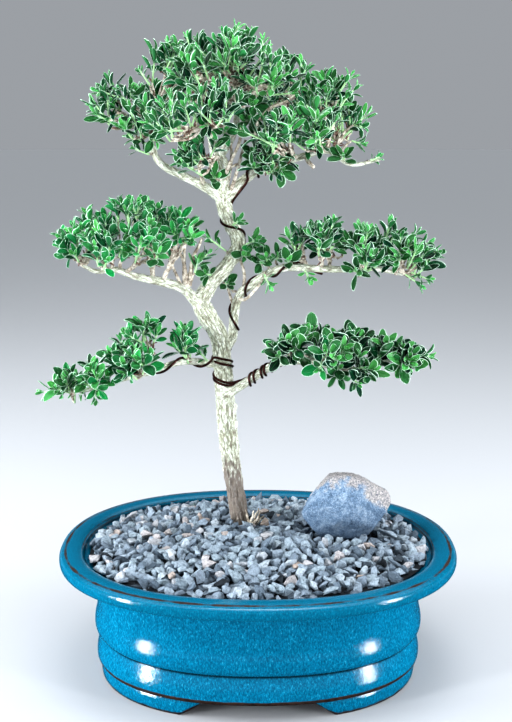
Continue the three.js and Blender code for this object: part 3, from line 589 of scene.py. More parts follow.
# The trunk and the limbs as [x, y, z, radius] along each.
trunk = [
    (TRUNK_X, TRUNK_Y, 30, 4.6), (TRUNK_X, TRUNK_Y, 66, 5.6), (-2.9, 18, 74, 4.9), (-4.9, 18, 88, 4.7),
    (-6.7, 18, 101, 5), (-9.2, 18, 125, 5.2), (-10.4, 18, 146, 5), (-11.6, 18, 160, 4.7),
    (-12.6, 18, 171, 4.8), (-18.6, 17, 182.5, 5), (-21.9, 16.2, 190, 4.7), (-16.4, 17, 200, 3.8),
    (-7.7, 18, 210, 3.7), (-2.9, 19, 220, 3.7), (-6.9, 19, 230, 3.7), (-10.1, 19, 238.5, 3.9),
    (-11, 19, 247, 3.7),
]
limbs = {
    "midLeft": [
        (-21, 16.5, 186, 3.2), (-26.2, 14, 193, 2.8), (-31, 12, 197.8, 2.6), (-39, 9, 201, 2.4),
        (-49, 6, 203.5, 2.1), (-56, 4, 205.6, 1.8), (-63, 2, 208.5, 1.6), (-72.5, 0, 208, 1.3),
        (-79, -1, 211, 1)],
    "midRight": [
        (-11, 20, 164, 2.6), (-6.6, 26, 169.5, 2.6), (-5.5, 26.5, 180.5, 2.5), (-4, 24, 189, 2.4),
        (-0.6, 20, 195.5, 2.3), (4.6, 16, 199.4, 2.3), (11.5, 12, 205, 2.2), (20, 9, 208.6, 2.1),
        (29.4, 7, 208.9, 2), (40.3, 6, 208.3, 1.8), (50, 5.4, 208.2, 1.6), (63.3, 4, 209, 1.4),
        (79, 4, 205.8, 1)],
    "lowLeft": [
        (-12, 17, 158.5, 2.3), (-17, 15, 158.3, 2.1), (-24.7, 12, 160, 1.9), (-34.7, 8, 160.1, 1.7),
        (-46, 4, 156.8, 1.5), (-57.6, 1, 154.3, 1.4), (-69.7, -1, 151.2, 1.2), (-79, -2, 148.4, 1.1),
        (-86, -2.6, 147.6, 0.9)],
    "lowRight": [
        (-9.6, 16, 141.5, 2.5), (-1.2, 12, 147.6, 2.3), (9.1, 8, 155.4, 2.1), (17.6, 4, 160.9, 1.9),
        (33.1, 1, 163, 1.7), (52.9, -1, 164.4, 1.4), (73.2, -2, 163.6, 1)],
    "crownLeft": [
        (-11, 19, 243, 2.7), (-20, 16.4, 248.4, 2.4), (-30.6, 14, 253.9, 2.1), (-41, 10, 260, 1.8),
        (-44.4, 8.6, 268, 1.5), (-44.8, 8, 278, 1.2)],
    "crownBack": [(-11, 19, 246, 2.8), (-13, 21, 258, 2.4), (-16.2, 24, 274, 2), (-12, 31, 288, 1.3)],
    "crownTop": [(-13.6, 21.6, 261, 2), (-6, 16, 272, 1.8), (-3, 9, 285, 1.5), (-4, 6, 297, 1.1)],
    "crownFront": [(-11, 19, 246, 2.2), (-8, 6, 258, 1.7), (-12, -6, 266, 1.4), (-17, -16, 277, 1.1)],
    "crownRight": [
        (-7.6, 19, 244, 2.7), (2.5, 16, 253.5, 2.4), (14, 12.6, 258.4, 2.1), (24.6, 10, 261.8, 1.8),
        (34, 8, 264.6, 1.6), (41.4, 6, 265.4, 1.4), (52, 4, 259.4, 1.2), (66.2, 2, 262, 0.9)],
    "crownRear": [(14, 12.6, 258.4, 1.9), (17, 23, 267, 1.6), (24, 31, 279, 1.2)],
}


def carry_frames(path):
    """Ways, normals and sides along a path, carried without twisting from the front."""
    ways = np.gradient(path[:, :3], axis=0)
    ways /= np.linalg.norm(ways, axis=1)[:, None]
    normal = np.array([0, -1.0, 0])
    normals = []
    for way in ways:
        normal = unit(normal - way * (normal @ way))
        normals.append(normal)
    normals = np.array(normals)
    return ways, normals, np.cross(ways, normals)


def tube(path, sides, first=0):
    """Points and faces of a closed tube along rows of x, y, z, radius."""
    _, normals, across = carry_frames(path)
    turns = np.linspace(0, 2 * np.pi, sides, endpoint=False)
    ring = np.cos(turns)[None, :, None] * normals[:, None] + np.sin(turns)[None, :, None] * across[:, None]
    points = (path[:, None, :3] + ring * path[:, 3][:, None, None]).reshape(-1, 3)
    faces = ring_faces(len(path), sides, first) + end_faces(len(path), sides, first, first + len(points))
    return np.vstack([points, path[0, :3], path[-1, :3]]), faces


def join_tubes(paths, sides):
    """Points and faces of several tubes together."""
    points, faces = [], []
    for path in paths:
        more, more_faces = tube(path, sides, len(points))
        points.extend(more)
        faces.extend(more_faces)
    return points, faces


trunk_path = smooth_path(trunk, SAMPLE_STEPS)
limb_paths = {name: smooth_path(points, SAMPLE_STEPS) for name, points in limbs.items()}
wood_paths = [trunk_path]
for path in limb_paths.values():
    flared = path.copy()
    flare = np.linspace(0, 1, SAMPLE_STEPS)
    flared[:SAMPLE_STEPS, 3] *= 1 + LIMB_FLARE * (1 - flare) ** 2
    wood_paths.append(flared)
wood_points, wood_faces = join_tubes(wood_paths, WOOD_SIDES)

# Healed cuts and old leaf bases stand out of the wood as knobs.
draw = random.Random(5)
knob_points, knob_faces = ball_mesh(KNOB_DETAIL)
for path, count in [(trunk_path, TRUNK_KNOBS)] + [(p, LIMB_KNOBS) for p in limb_paths.values()]:
    _, normals, across = carry_frames(path)
    for _ in range(count):
        i = draw.randrange(int(len(path) * 0.12), len(path))
        turn = draw.uniform(0, 2 * math.pi)
        out = normals[i] * math.cos(turn) + across[i] * math.sin(turn)
        size = path[i, 3] * draw.uniform(0.3, 0.5)
        spot = path[i, :3] + out * path[i, 3] * draw.uniform(0.55, 0.78)
        wood_faces += [[len(wood_points) + v for v in f] for f in knob_faces]
        wood_points.extend(knob_points * size + spot)

tree = make_piece("serissa_wood", wood_points, wood_faces, [])
remesh = tree.modifiers.new("one skin", "REMESH")
remesh.mode = "VOXEL"
remesh.voxel_size = BARK_VOXEL * MM
soften = tree.modifiers.new("grown together", "SMOOTH")
soften.factor = 0.5
soften.iterations = 6
depsgraph = bpy.context.evaluated_depsgraph_get()
skin = bpy.data.meshes.new_from_object(tree.evaluated_get(depsgraph))
tree.modifiers.clear()
tree.data = skin

# The bark splits along each limb: long plates between cracks, and finer streaks and flakes on the
# plates. Each point of the skin is placed round and along the limb nearest to it, and raised by them.
CRACK_WIDTH = 0.22
CRACK_DEPTH = 0.5
STREAK_HEIGHT = 0.36
FLAKE_HEIGHT = 0.32
FINE_HEIGHT = 0.12
THICK_BARK_GIRTH = 4.5
sample_tree = kdtree.KDTree(sum(len(p) for p in wood_paths))
sample_facts = []
for path in wood_paths:
    ways, normals, across = carry_frames(path)
    lengths = np.concatenate([[0], np.cumsum(np.linalg.norm(np.diff(path[:, :3], axis=0), axis=1))])
    for i, row in enumerate(path):
        sample_tree.insert(Vector(row[:3]), len(sample_facts))
        sample_facts.append((row, ways[i], normals[i], across[i], lengths[i]))
sample_tree.balance()
skin_points = np.empty(len(skin.vertices) * 3)
skin.vertices.foreach_get("co", skin_points)
skin_points = skin_points.reshape(-1, 3) / MM
skin_normals = np.empty(len(skin.vertices) * 3)
skin.vertex_normals.foreach_get("vector", skin_normals)
skin_normals = skin_normals.reshape(-1, 3)
crack_marks, pale_marks, grain_marks, raised = [], [], [], []
for point in skin_points:
    _, index, _ = sample_tree.find(Vector(point))
    row, way, normal, side, length = sample_facts[index]
    offset = point - row[:3]
    along = length + offset @ way
    turn = math.atan2(offset @ side, offset @ normal)
    girth = row[3]
    ring_x, ring_y = girth * math.cos(turn), girth * math.sin(turn)
    warp = noise.noise(Vector((ring_x * 0.3, ring_y * 0.3, along * 0.12))) * 2.2
    cell = Vector((ring_x * 0.4 + warp * 0.45, ring_y * 0.4, (along + warp) * 0.065))
    reaches, _ = noise.voronoi(cell)
    crack = 1 - min(1, (reaches[1] - reaches[0]) / CRACK_WIDTH)
    streak = noise.fractal(Vector((ring_x * 1.5, ring_y * 1.5, along * 0.16)), 0.8, 2.1, 4)
    flake = noise.noise(Vector((ring_x * 0.8, ring_y * 0.8, along * 0.3)) + Vector((40, 0, 0)))
    deep = min(1.0, girth / THICK_BARK_GIRTH)
    relief = -CRACK_DEPTH * crack + STREAK_HEIGHT * streak + FLAKE_HEIGHT * flake
    raised.append(deep * relief + FINE_HEIGHT * streak)
    crack_marks.append(deep * min(1, max(0, crack * 0.75 - streak * 0.9)))
    pale_marks.append(0.5 + 0.55 * flake + 0.45 * streak)
    grain_marks.append((ring_x, ring_y, along * 0.12))
skin_points += skin_normals * np.array(raised)[:, None]
skin.vertices.foreach_set("co", (skin_points * MM).ravel())
grain_x, grain_y, grain_z = np.array(grain_marks).T
write_marks(skin, {
    "crack": crack_marks, "pale": pale_marks, "grain_x": grain_x, "grain_y": grain_y, "grain_z": grain_z})
skin.polygons.foreach_set("use_smooth", [True] * len(skin.polygons))

# Flaking bark: weathered cream and pale green plates over olive cracks, dark brown where it is damp
# near the gravel. Its grain is scaled in millimetres round each limb, and drawn out along it.
bark = new_material("flaking serissa bark")
place = add_node(bark, "TexCoord", out="Object")
height = add_node(bark, "SeparateXYZ", place, out="Z")
pale_mark = add_node(bark, "Attribute", attribute_name="pale", out="Fac")
crack_mark = add_node(bark, "Attribute", attribute_name="crack", out="Fac")
pale_tone = add_node(bark, "ValToRGB", pale_mark, stops=[
    (0.1, "#b3b69d"), (0.3, "#c7cab5"), (0.48, "#d5d8c7"), (0.7, "#e4e7da")])
grain_axes = [add_node(bark, "Attribute", attribute_name="grain_" + axis, out="Fac") for axis in "xyz"]
fibres = add_node(bark, "CombineXYZ", *grain_axes)
grain = add_node(bark, "Mapping", fibres, Scale=(1, 1, 2.4))
fine = add_node(bark, "TexNoise", grain, Scale=1.5, Detail=5, Roughness=0.75)
fine_tone = add_node(bark, "ValToRGB", fine, stops=[
    (0.33, "#5f5e45"), (0.44, "#bcbfac"), (0.53, "#ffffff")])
streaked = add_node(bark, "Mix", 0.75, pale_tone, fine_tone, blend_type="MULTIPLY")
split = add_node(bark, "MapRange", crack_mark, From_Min=0.2, From_Max=0.9, To_Max=0.55)
split_tone = add_node(bark, "Mix", split, streaked, paint("#7c7c62"))
wander = add_node(bark, "TexNoise", grain, Scale=0.9, Detail=3, out="Color")
bent = add_node(bark, "VectorMath", wander, (2.4, 2.4, 2.4), grain, operation="MULTIPLY_ADD")
plates = add_node(bark, "TexVoronoi", bent, Scale=0.62, feature="DISTANCE_TO_EDGE")
seam = add_node(bark, "MapRange", plates, From_Min=0.14, From_Max=0.04, To_Max=0.62)
seamed = add_node(bark, "Mix", seam, split_tone, paint("#5d5a48"))
damp_level = add_node(bark, "MapRange", height, From_Min=0.086, From_Max=0.112, To_Min=1.25, To_Max=0)
damp_patch = add_node(bark, "Math", damp_level, pale_mark, operation="SUBTRACT")
damp_edge = add_node(bark, "MapRange", damp_patch, From_Min=-0.35, From_Max=0.1, To_Max=0.85)
damp = add_node(bark, "Mix", damp_edge, seamed, paint("#675a54"))
bump = add_node(bark, "Bump", Height=fine, Strength=0.5, Distance=0.0005)
add_node(bark, "BsdfPrincipled", damp, Roughness=0.85, Normal=bump)
skin.materials.append(bark)
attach(tree, "root")
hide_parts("tree")

# Wires
# Brown anodised aluminium training wire, 1.3 mm, wound by hand: one holds the two lower limbs with
# a few tight turns round the trunk between them, one the middle right limb and one the crown.
WIRE_RADIUS = 0.65
WIRE_STEPS = 24
WIRE_SIDES = 10
BARK_BULGE = 1.05
WIRE_PRESS = 0.75
WIRE_RELAX = 4
# Each strand's stretches, as [limb, where they start and stop as shares of it, turns round it, the
# angles of the first and the last turn]. One without a first angle goes on from the last stretch.
wires = {
    "wire_low": [
        [("lowLeft", 0.6, 0.12, 2, 1.2, 1.3), ("trunk", 0.452, 0.38, 1, None, 0.9),
         ("lowRight", 0.17, 0.5, -3, None, 2)],
        [("trunk", 0.463, 0.374, 1, 2.1, 0.9), ("lowRight", 0.21, 0.53, -3, None, 2)]],
    "wire_mid": [[("midRight", 0.12, 0.74, -3, 0.8, 0.6)]],
    "wire_crown": [[("trunk", 0.8, 0.955, -1, 3.6, 0.9), ("crownRight", 0.13, 0.24, -1, None, 3)]],
}
# Anodised aluminium: a soft brown metal sheen with faint drawing marks.
anodised = new_material("anodised aluminium wire")
place = add_node(anodised, "TexCoord", out="Object")
drawn = add_node(anodised, "TexNoise", place, Scale=700, Detail=3)
tone = add_node(anodised, "ValToRGB", drawn, stops=[(0.3, "#25130f"), (0.7, "#5d3b36")])
add_node(anodised, "BsdfPrincipled", tone, Metallic=0.9, Roughness=0.36)

wire_spots = []
for name, strands in wires.items():
    strand_paths = []
    for stretches in strands:
        route = []
        for limb, start, stop, turns, first_turn, last_turn in stretches:
            path = trunk_path if limb == "trunk" else limb_paths[limb]
            _, normals, across = carry_frames(path)
            if first_turn is None:
                i = round(start * (len(path) - 1))
                offset = route[-1] - path[i, :3]
                first_turn = math.atan2(offset @ across[i], offset @ normals[i])
            hand = math.copysign(1, turns)
            sweep = turns * 2 * math.pi + hand * ((hand * (last_turn - first_turn)) % (2 * math.pi))
            steps = round(abs(sweep) / (2 * math.pi) * WIRE_STEPS)
            for k in range(steps + 1):
                spot = (start + (stop - start) * k / steps) * (len(path) - 1)
                i = min(int(spot), len(path) - 2)
                part = spot - i
                row = path[i] * (1 - part) + path[i + 1] * part
                turn = first_turn + sweep * k / steps
                out = row[3] * BARK_BULGE + WIRE_PRESS * WIRE_RADIUS
                route.append(row[:3] + out * (normals[i] * math.cos(turn) + across[i] * math.sin(turn)))
        route = np.array(route)
        for _ in range(WIRE_RELAX):
            route[1:-1] = 0.5 * route[1:-1] + 0.25 * (route[:-2] + route[2:])
        wire_spots.extend(route[::3])
        strand_paths.append(np.column_stack([route, np.full(len(route), WIRE_RADIUS)]))
    points, faces = join_tubes(strand_paths, WIRE_SIDES)
    wire = make_piece(name + "_drawn", points, faces, [anodised])
    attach(wire, "root")
    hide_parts(name)
wire_spots = np.array(wire_spots)

# Twigs
# Each leafy spray grows on a twig from its limb, which forks again and again below the leaves. The
# twigs are tan, ringed with old leaf scars and thickened where they fork.
STEM_LENGTH = 9.0
TWIG_SEED = 700
TWIG_SIDES = 5
SPUR_SIDES = 4
WIRE_CLEARANCE = 1.4
SHOOT_TURN = 2.4
LOW_LIMB_COST = 20
BARE_TRUNK_SAMPLES = 80
KINK = 0.28
SCAR_SWELL = 1.25
# Radii of each sort of twig at its foot and its end.
LIMB_TWIG = (0.95, 0.6)
LONE_TWIG = (0.75, 0.5)
FORKED_TWIG = (0.66, 0.46)
STUB = (0.8, 0.38)
SPUR = (0.42, 0.26)
# How the foliage of each pad grows, as [outer and inner shoots a spray, their spread, their rise over
# its middle, the leaves' slimness and length, how untidy they are, the way they all lean, how much
# paler their leaves are painted]. This last is painted light: the pads that the lamps light more are
# painted paler, the others darker.
HABITS = {
    "crow": (9, 3, 11, 5.5, 0.17, 10.0, 1.0, (0, -0.1, 0.5), -0.1),
    "midL": (8, 2, 10.5, 4, 0.21, 9.5, 0.8, (-0.1, -0.2, 0.4), 0.3),
    "midR": (5, 1, 10, 0.8, 0.18, 10.5, 0.9, (0.2, -0.2, 0.3), -0.15),
    "lowL": (5, 1, 9, 2, 0.22, 11, 0.7, (-0.2, -0.2, 0.4), 0.3),
    "lowR": (5, 1, 9.5, 0.2, 0.24, 11.5, 0.3, (0.1, -0.75, 0.1), -0.06),
}
# The leafy sprays, as [limb, middle, size].
sprays = [
    ("crownLeft", (-62, 3, 288), 1), ("crownLeft", (-45, -8, 278), 1),
    ("crownLeft", (-47, 27, 288), 1), ("crownLeft", (-34, 10, 306), 1),
    ("crownTop", (-23, -10, 302), 1), ("crownBack", (-26, 35, 298), 1),
    ("crownTop", (-21, 14, 309), 1), ("crownFront", (-31, -25, 280), 1),
    ("crownTop", (-5, -8, 307), 1), ("crownTop", (-2, 10, 312), 1),
    ("crownBack", (-5, 42, 298), 1), ("crownFront", (-11, -30, 285), 1),
    ("crownTop", (13, -14, 298), 1), ("crownRear", (21, 14, 302), 1),
    ("crownRear", (18, 42, 289), 1), ("crownRight", (16, -24, 274), 1),
    ("crownRight", (39, 0, 292), 1), ("crownRear", (31, 24, 288), 1),
    ("crownRight", (34, -18, 275), 1), ("crownRight", (48, 10, 280), 1),
    ("crownFront", (-24, -6, 264), 0.75), ("crownRight", (12, -6, 262), 0.75),
    ("midLeft", (-81, -4, 221.5), 1), ("midLeft", (-71, 12, 229), 1), ("midLeft", (-66, -17, 222), 1),
    ("midLeft", (-55, 3, 235.5), 1), ("midLeft", (-46, -14, 223), 1), ("midLeft", (-44, 23, 230), 1),
    ("midLeft", (-32, 1, 228), 1), ("midRight", (28, 13, 224), 0.6), ("midRight", (39, -4, 224), 0.85),
    ("midRight", (44, 20, 226), 1), ("midRight", (57, 1, 226), 1),
    ("midRight", (57, -15, 217), 0.85), ("midRight", (73, 14, 226), 1),
    ("midRight", (78, -7, 220), 1), ("midRight", (88, 4, 215), 0.9),
    ("lowLeft", (-88, -4, 152), 0.55), ("lowLeft", (-75, -6, 156.5), 0.8),
    ("lowLeft", (-61, 5, 166.5), 0.9), ("lowLeft", (-53, -9, 165), 0.85),
    ("lowLeft", (-50.5, 5, 178), 0.75), ("lowLeft", (-31, 7, 170.5), 0.6),
    ("lowRight", (22, -6, 172), 0.9), ("lowRight", (34, 9, 175), 1),
    ("lowRight", (40, -14, 170), 1), ("lowRight", (54, 3, 174), 1), ("lowRight", (59, -15, 163), 1),
    ("lowRight", (70, -1, 171), 1), ("lowRight", (82, -5, 167), 0.7),
]
UP = np.array([0, 0, 1.0])


def bezier(start, bend, end, count):
    """A curve from start to end, pulled toward bend, as count points."""
    t = np.linspace(0, 1, count)[:, None]
    return start * (1 - t) ** 2 + bend * 2 * t * (1 - t) + end * t ** 2


def stray(draw, spread=1.0):
    """A random vector."""
    return np.array([draw.gauss(0, spread) for _ in range(3)])


def knobbly(line, radii, draw):
    """A twig's path: a line with small kinks and with rings of old leaf scars."""
    thick, thin = radii
    radii = thick + (thin - thick) * np.linspace(0, 1, len(line))
    radii[1:-1:2] *= SCAR_SWELL
    kinked = line.copy()
    kinked[1:-1] += [stray(draw, KINK) for _ in range(len(line) - 2)]
    return np.column_stack([kinked, radii])


twig_paths = []
spur_paths = []
spray_shoots = []
for number, (limb, at, size) in enumerate(sprays):
    draw = random.Random(TWIG_SEED + number)
    at = np.array(at, float)
    lean = np.array([0, -0.45 if at[1] < 10 else 0.35, 0])
    best = math.inf
    for row in limb_paths[limb][SAMPLE_STEPS:]:
        toward = at - row[:3]
        way = unit(unit(toward) + 0.7 * UP + lean)
        base = at - 0.6 * STEM_LENGTH * size * way
        bend = row[:3] * 0.45 + base * 0.55 - 0.12 * np.linalg.norm(toward) * way
        line = bezier(row[:3], bend, base, 12)
        length = np.linalg.norm(np.diff(line, axis=0), axis=1).sum()
        if toward[2] <= 0:
            length += LOW_LIMB_COST
        if length < best:
            near_wire = np.linalg.norm(line[:, None] - wire_spots[None], axis=2).min()
            if near_wire > WIRE_RADIUS + WIRE_CLEARANCE:
                best = length
                spray_way, spray_line = way, line
    twig_paths.append(knobbly(spray_line, LIMB_TWIG, draw))
    side_a = unit(np.cross(spray_way, UP + 0.01))
    side_b = np.cross(spray_way, side_a)
    count, inner, reach, top, _, _, wild, bias, _ = HABITS[limb[:4]]
    shoots = []
    for k in range(count):
        turn = SHOOT_TURN * k + draw.uniform(-0.3, 0.3)
        spread = 0 if k == 0 else math.sqrt(k / (count - 1)) * draw.uniform(0.8, 1.1)
        out = side_a * math.cos(turn) + side_b * math.sin(turn)
        rise = top - 5.6 * spread ** 2 + draw.uniform(-1.5, 1.5)
        tip = at + size * (out * reach * spread + spray_way * rise)
        shoot_way = unit(spray_way + out * spread * 0.9 + np.array(bias)
                         + (0.15 + 0.2 * wild) * stray(draw))
        length = draw.uniform(7, 9.5) + (draw.uniform(3, 7) if draw.random() < 0.35 * wild else 0)
        tip = tip + shoot_way * 0.4 * (length - 8)
        foot = tip - shoot_way * length
        start = spray_line[draw.randrange(1, 9)]
        bend = start * 0.5 + foot * 0.5 - shoot_way * 0.25 * np.linalg.norm(foot - start)
        shoot_line = bezier(start, bend, foot, 9)
        twig_paths.append(knobbly(shoot_line, FORKED_TWIG, draw))
        shoots.append((foot, tip, shoot_way, draw.random() ** 3))
        for _ in range(2):
            spur_foot = shoot_line[draw.randrange(1, 9)]
            spur_way = unit(stray(draw) + UP * 0.8)
            spur_tip = spur_foot + spur_way * draw.uniform(1.6, 4.2)
            spur_line = bezier(spur_foot, (spur_foot + spur_tip) / 2, spur_tip, 4)
            spur_paths.append(knobbly(spur_line, SPUR, draw))
    for _ in range(inner):
        foot = spray_line[draw.randrange(5, 12)]
        way = unit(side_a * draw.gauss(0, 1) + side_b * draw.gauss(0, 1) + 0.8 * spray_way)
        shoots.append((foot, foot + way * draw.uniform(5, 9), way, 0.0))
    spray_shoots.append(shoots)

# Single young shoots stand out of the pads or break from the old wood, as [foot, tip, leaf length,
# freshness], and rosettes look out to the front, as [middle, way, leaf length].
LONE_SHOOTS = [
    ((-10.6, 4, 308.5), (-3.4, 3, 320), 8, 0.8), ((-26.7, 4, 304.8), (-35.1, 4, 315.7), 7, 0.9),
    ((-23.4, 3, 308), (-26.5, 3, 318), 6, 0.9), ((-54.8, -1, 289), (-67, -3, 293.5), 7, 0.5),
    ((-44.3, 3, 296.3), (-49, 3, 303), 5, 0.3), ((41.3, -3, 279.3), (49.3, -3, 291.5), 6.5, 1),
    ((41, 4, 290), (46, 2, 298), 7, 0.5), ((9, 0, 303), (9, -2, 316), 8.5, 1.5),
    ((60, 3.4, 260.5), (65, 0, 263), 4.5, 0.3), ((-7, 17, 228.5), (-3, 13.5, 231), 8, 0.4),
    ((-1.5, 17, 218), (5, 12, 222), 9, 0.5), ((-9, 17, 216), (-17.5, 12, 223), 7, 0.5),
    ((-24.6, 10, 206), (-23.4, 9, 210.5), 10, 0.7), ((30, 6.5, 208), (32, 1, 204.5), 6.5, 1.2),
    ((-19, 13.5, 160), (-22, 9, 165), 6, 0.5), ((-66, -1, 222), (-80, -5, 229), 7, 0.3),
    ((89.3, 3, 212.2), (96.5, 2, 217), 7.5, 0.6), ((79.6, 4, 206.2), (87.2, 1, 201), 8, 0.4),
    ((82.1, 4, 207.2), (90.5, 2, 204), 8, 0.3), ((-77, -2, 149.2), (-100, -3, 147.8), 9, 0.7),
    ((-75.5, -2, 149.5), (-74.8, -4, 145), 6, 0.4), ((-79, -2, 149), (-81.5, -4, 147), 5, 0.5),
    ((84.9, -3, 167), (92, -3, 166), 8.5, 0.5), ((10, 8, 205.5), (12.5, 6, 200.5), 6, 0.9),
    ((52, 4, 270.5), (56, 3, 269.5), 7, 0.3), ((53, 4, 278), (57, 3, 277), 7, 0.3),
    ((79.1, 3, 223), (85, 3, 226), 7.5, 0.5), ((80.7, 3, 220), (91, 2, 221.5), 8, 0.6),
    ((81.7, 3, 217), (94, 1, 217.1), 7.5, 0.5), ((44.6, -2, 292), (50, -3, 300), 6.5, 0.8),
    ((46.5, -2, 288), (52.5, -3, 294.5), 7, 0.6), ((-5.5, 3, 315), (-2.5, 2, 323), 7.5, 0.9),
    ((-7.2, 4, 311), (-9, 3, 320), 6.5, 0.4), ((-46.6, 6, 269), (-54, 5, 272.5), 7, 0.3),
    ((-45.8, 7, 264), (-52.4, 6, 266.6), 6.5, 0.2), ((-60, 1, 289), (-69, 0, 293), 8, 0.7),
    ((-50.8, 1, 172), (-57, 0, 176), 8, 0.5), ((-25.6, 12, 208), (-18.5, 11, 215), 8, 0.2),
]
ROSETTES = [
    ((-18.5, -8, 275.6), (0.1, -1, 0.1), 12), ((-14.1, 6, 253.2), (0.1, -0.9, 0.35), 10),
    ((4.1, 0, 261.6), (0.2, -0.9, 0.2), 11.5), ((18, 2, 257), (0.25, -0.9, -0.2), 11),
    ((30.4, 0, 267.7), (0, -0.9, 0.2), 9.5), ((33.7, -5, 274.7), (0, -0.9, 0.3), 11.5),
    ((48.2, 2, 263), (-0.1, -0.8, 0.5), 9), ((46.2, -12, 158), (0, -0.9, -0.3), 12),
    ((77.4, -8, 162), (0.3, -0.9, -0.3), 12), ((0.5, 15, 214), (0.2, -0.9, 0.3), 10),
    ((5, 15, 218.5), (0.4, -0.8, 0.4), 9), ((9, 12, 211), (0.2, -0.9, 0.3), 8.5),
    ((-8.8, 20, 199.5), (0.2, -0.9, 0.4), 7), ((-18.5, 12, 205), (-0.4, -0.8, 0.2), 7),
    ((4.1, 0, 287), (0.1, -0.9, 0.3), 11.5), ((2, 3, 280), (-0.2, -0.9, 0.2), 11),
    ((5.5, 5, 274), (0.2, -0.9, 0.1), 11), ((-8.8, 0, 275), (0.2, -0.9, 0.2), 11),
    ((11.5, 9, 213), (0, -0.8, 0.5), 8.5), ((17, 8, 214), (0.2, -0.8, 0.4), 8.5),
    ((22, 7, 212), (-0.1, -0.9, 0.3), 9),
]
LONE_SLIM = 0.2
ROSETTE_SLIM = 0.25
ROSETTE_FRESH = 0.3
ROSETTE_STEM = 4
single_shoots = []
for foot, tip, full, fresh in LONE_SHOOTS:
    foot, tip = np.array(foot, float), np.array(tip, float)
    single_shoots.append((foot, tip, unit(tip - foot), full, LONE_SLIM, fresh))
for middle, way, full in ROSETTES:
    tip, way = np.array(middle, float), unit(np.array(way))
    single_shoots.append((tip - ROSETTE_STEM * way, tip, way, full, ROSETTE_SLIM, ROSETTE_FRESH))
all_wood = np.vstack([trunk_path[BARE_TRUNK_SAMPLES:], *limb_paths.values()])[:, :3]
for foot, _, way, *_ in single_shoots:
    start = all_wood[np.linalg.norm(all_wood - foot, axis=1).argmin()]
    bend = (start + foot) / 2 - way * 0.25 * np.linalg.norm(foot - start)
    twig_paths.append(knobbly(bezier(start, bend, foot, 8), LONE_TWIG, draw))

# Old branchlets rise bare between the sprays, as [x, y, z, radius] along each.
BRANCHLETS = [
    [(-27.4, 11, 199, 1.2), (-25.5, 11, 213.5, 0.95), (-22.7, 11, 218.8, 0.8), (-20.9, 10, 223.2, 0.6)],
    [(-28.7, 11, 199, 1.1), (-30.5, 10, 212.8, 0.9), (-32.9, 9, 217.3, 0.8), (-37.3, 8, 222.5, 0.7),
     (-40.4, 7, 224.8, 0.6)],
    [(-30.2, 12, 199, 1.1), (-30, 12, 211.2, 0.9), (-29.7, 12, 217.9, 0.75), (-27.5, 12, 226.7, 0.6)],
    [(-31, 11, 198, 0.9), (-36.6, 10, 211.3, 0.7), (-38.9, 9, 217.3, 0.6), (-40.8, 8, 222.3, 0.5)],
    [(-0.4, 19.5, 196, 1), (0.1, 19, 203.7, 0.85), (-1.4, 19, 209.8, 0.75), (-3.3, 18.5, 214.1, 0.7)],
    [(-4.6, 25, 184, 0.9), (-7, 24, 191, 0.75), (-8.5, 23, 196.2, 0.65), (-10.8, 21, 199.8, 0.55)],
    [(-3.2, 22, 191, 0.9), (0.8, 15, 191.8, 0.85), (5.3, 13, 196.6, 0.8), (9.9, 11, 202.5, 0.7)],
    [(5, 14, 256, 1.1), (6, -1, 270, 1), (6.5, -5, 277.6, 0.9), (13.2, -6, 286, 0.85),
     (19.8, -7, 288.3, 0.75), (23.9, -7, 291.8, 0.6)],
    [(13, 12, 259, 1.2), (11.4, 0, 264.5, 1.1), (13.5, -3, 270, 1), (16.3, -5, 277, 0.85),
     (17, -6, 283, 0.7)],
    [(-9, 17, 249, 1.1), (-7.3, 2, 258.5, 0.9), (-1.9, -3, 270, 0.8), (-1, -5, 277, 0.7)],
    [(-20, 16, 249, 1.2), (-22, 6, 262, 1), (-21, -2, 272, 0.9), (-18, -6, 282, 0.7)],
    [(30.5, 9, 263.5, 1.2), (31, 4, 261, 1.1), (33.8, 1, 258, 1)],
    [(-6.5, 17, 246, 1), (-3.4, 6, 255.5, 0.85), (-0.8, 3, 264.5, 0.75), (1, 2, 271, 0.65)],
    [(-8.5, 17, 248, 1), (-6.4, 8, 258, 0.85), (-5.8, 4, 264, 0.75), (-6.2, 2, 270, 0.65)],
]
for branchlet in BRANCHLETS:
    twig_paths.append(smooth_path(branchlet, 5))

# Pale stubs fan out of one cut shoot at the trunk's foot.
STUB_FOOT = np.array([3.4, 12.5, 72.0])
STUB_WAYS = [
    (-0.35, -0.2, 1), (0.15, -0.35, 1), (0.55, -0.3, 0.85), (0.95, -0.1, 0.6), (0.5, 0.5, 0.9),
]
for way in STUB_WAYS:
    stub_way = unit(np.array(way))
    start = STUB_FOOT + stub_way * (2, 2, 0.5)
    end = start + stub_way * draw.uniform(5.5, 7.5) + UP
    twig_paths.append(knobbly(bezier(start - UP * 1.5, (start + end) / 2, end, 6), STUB, draw))
points, faces = join_tubes(twig_paths, TWIG_SIDES)
dead = [0.0] * len(points)
spur_points, spur_faces = join_tubes(spur_paths, SPUR_SIDES)
faces += [[len(points) + v for v in f] for f in spur_faces]
points.extend(spur_points)
dead += [1.0] * len(spur_points)

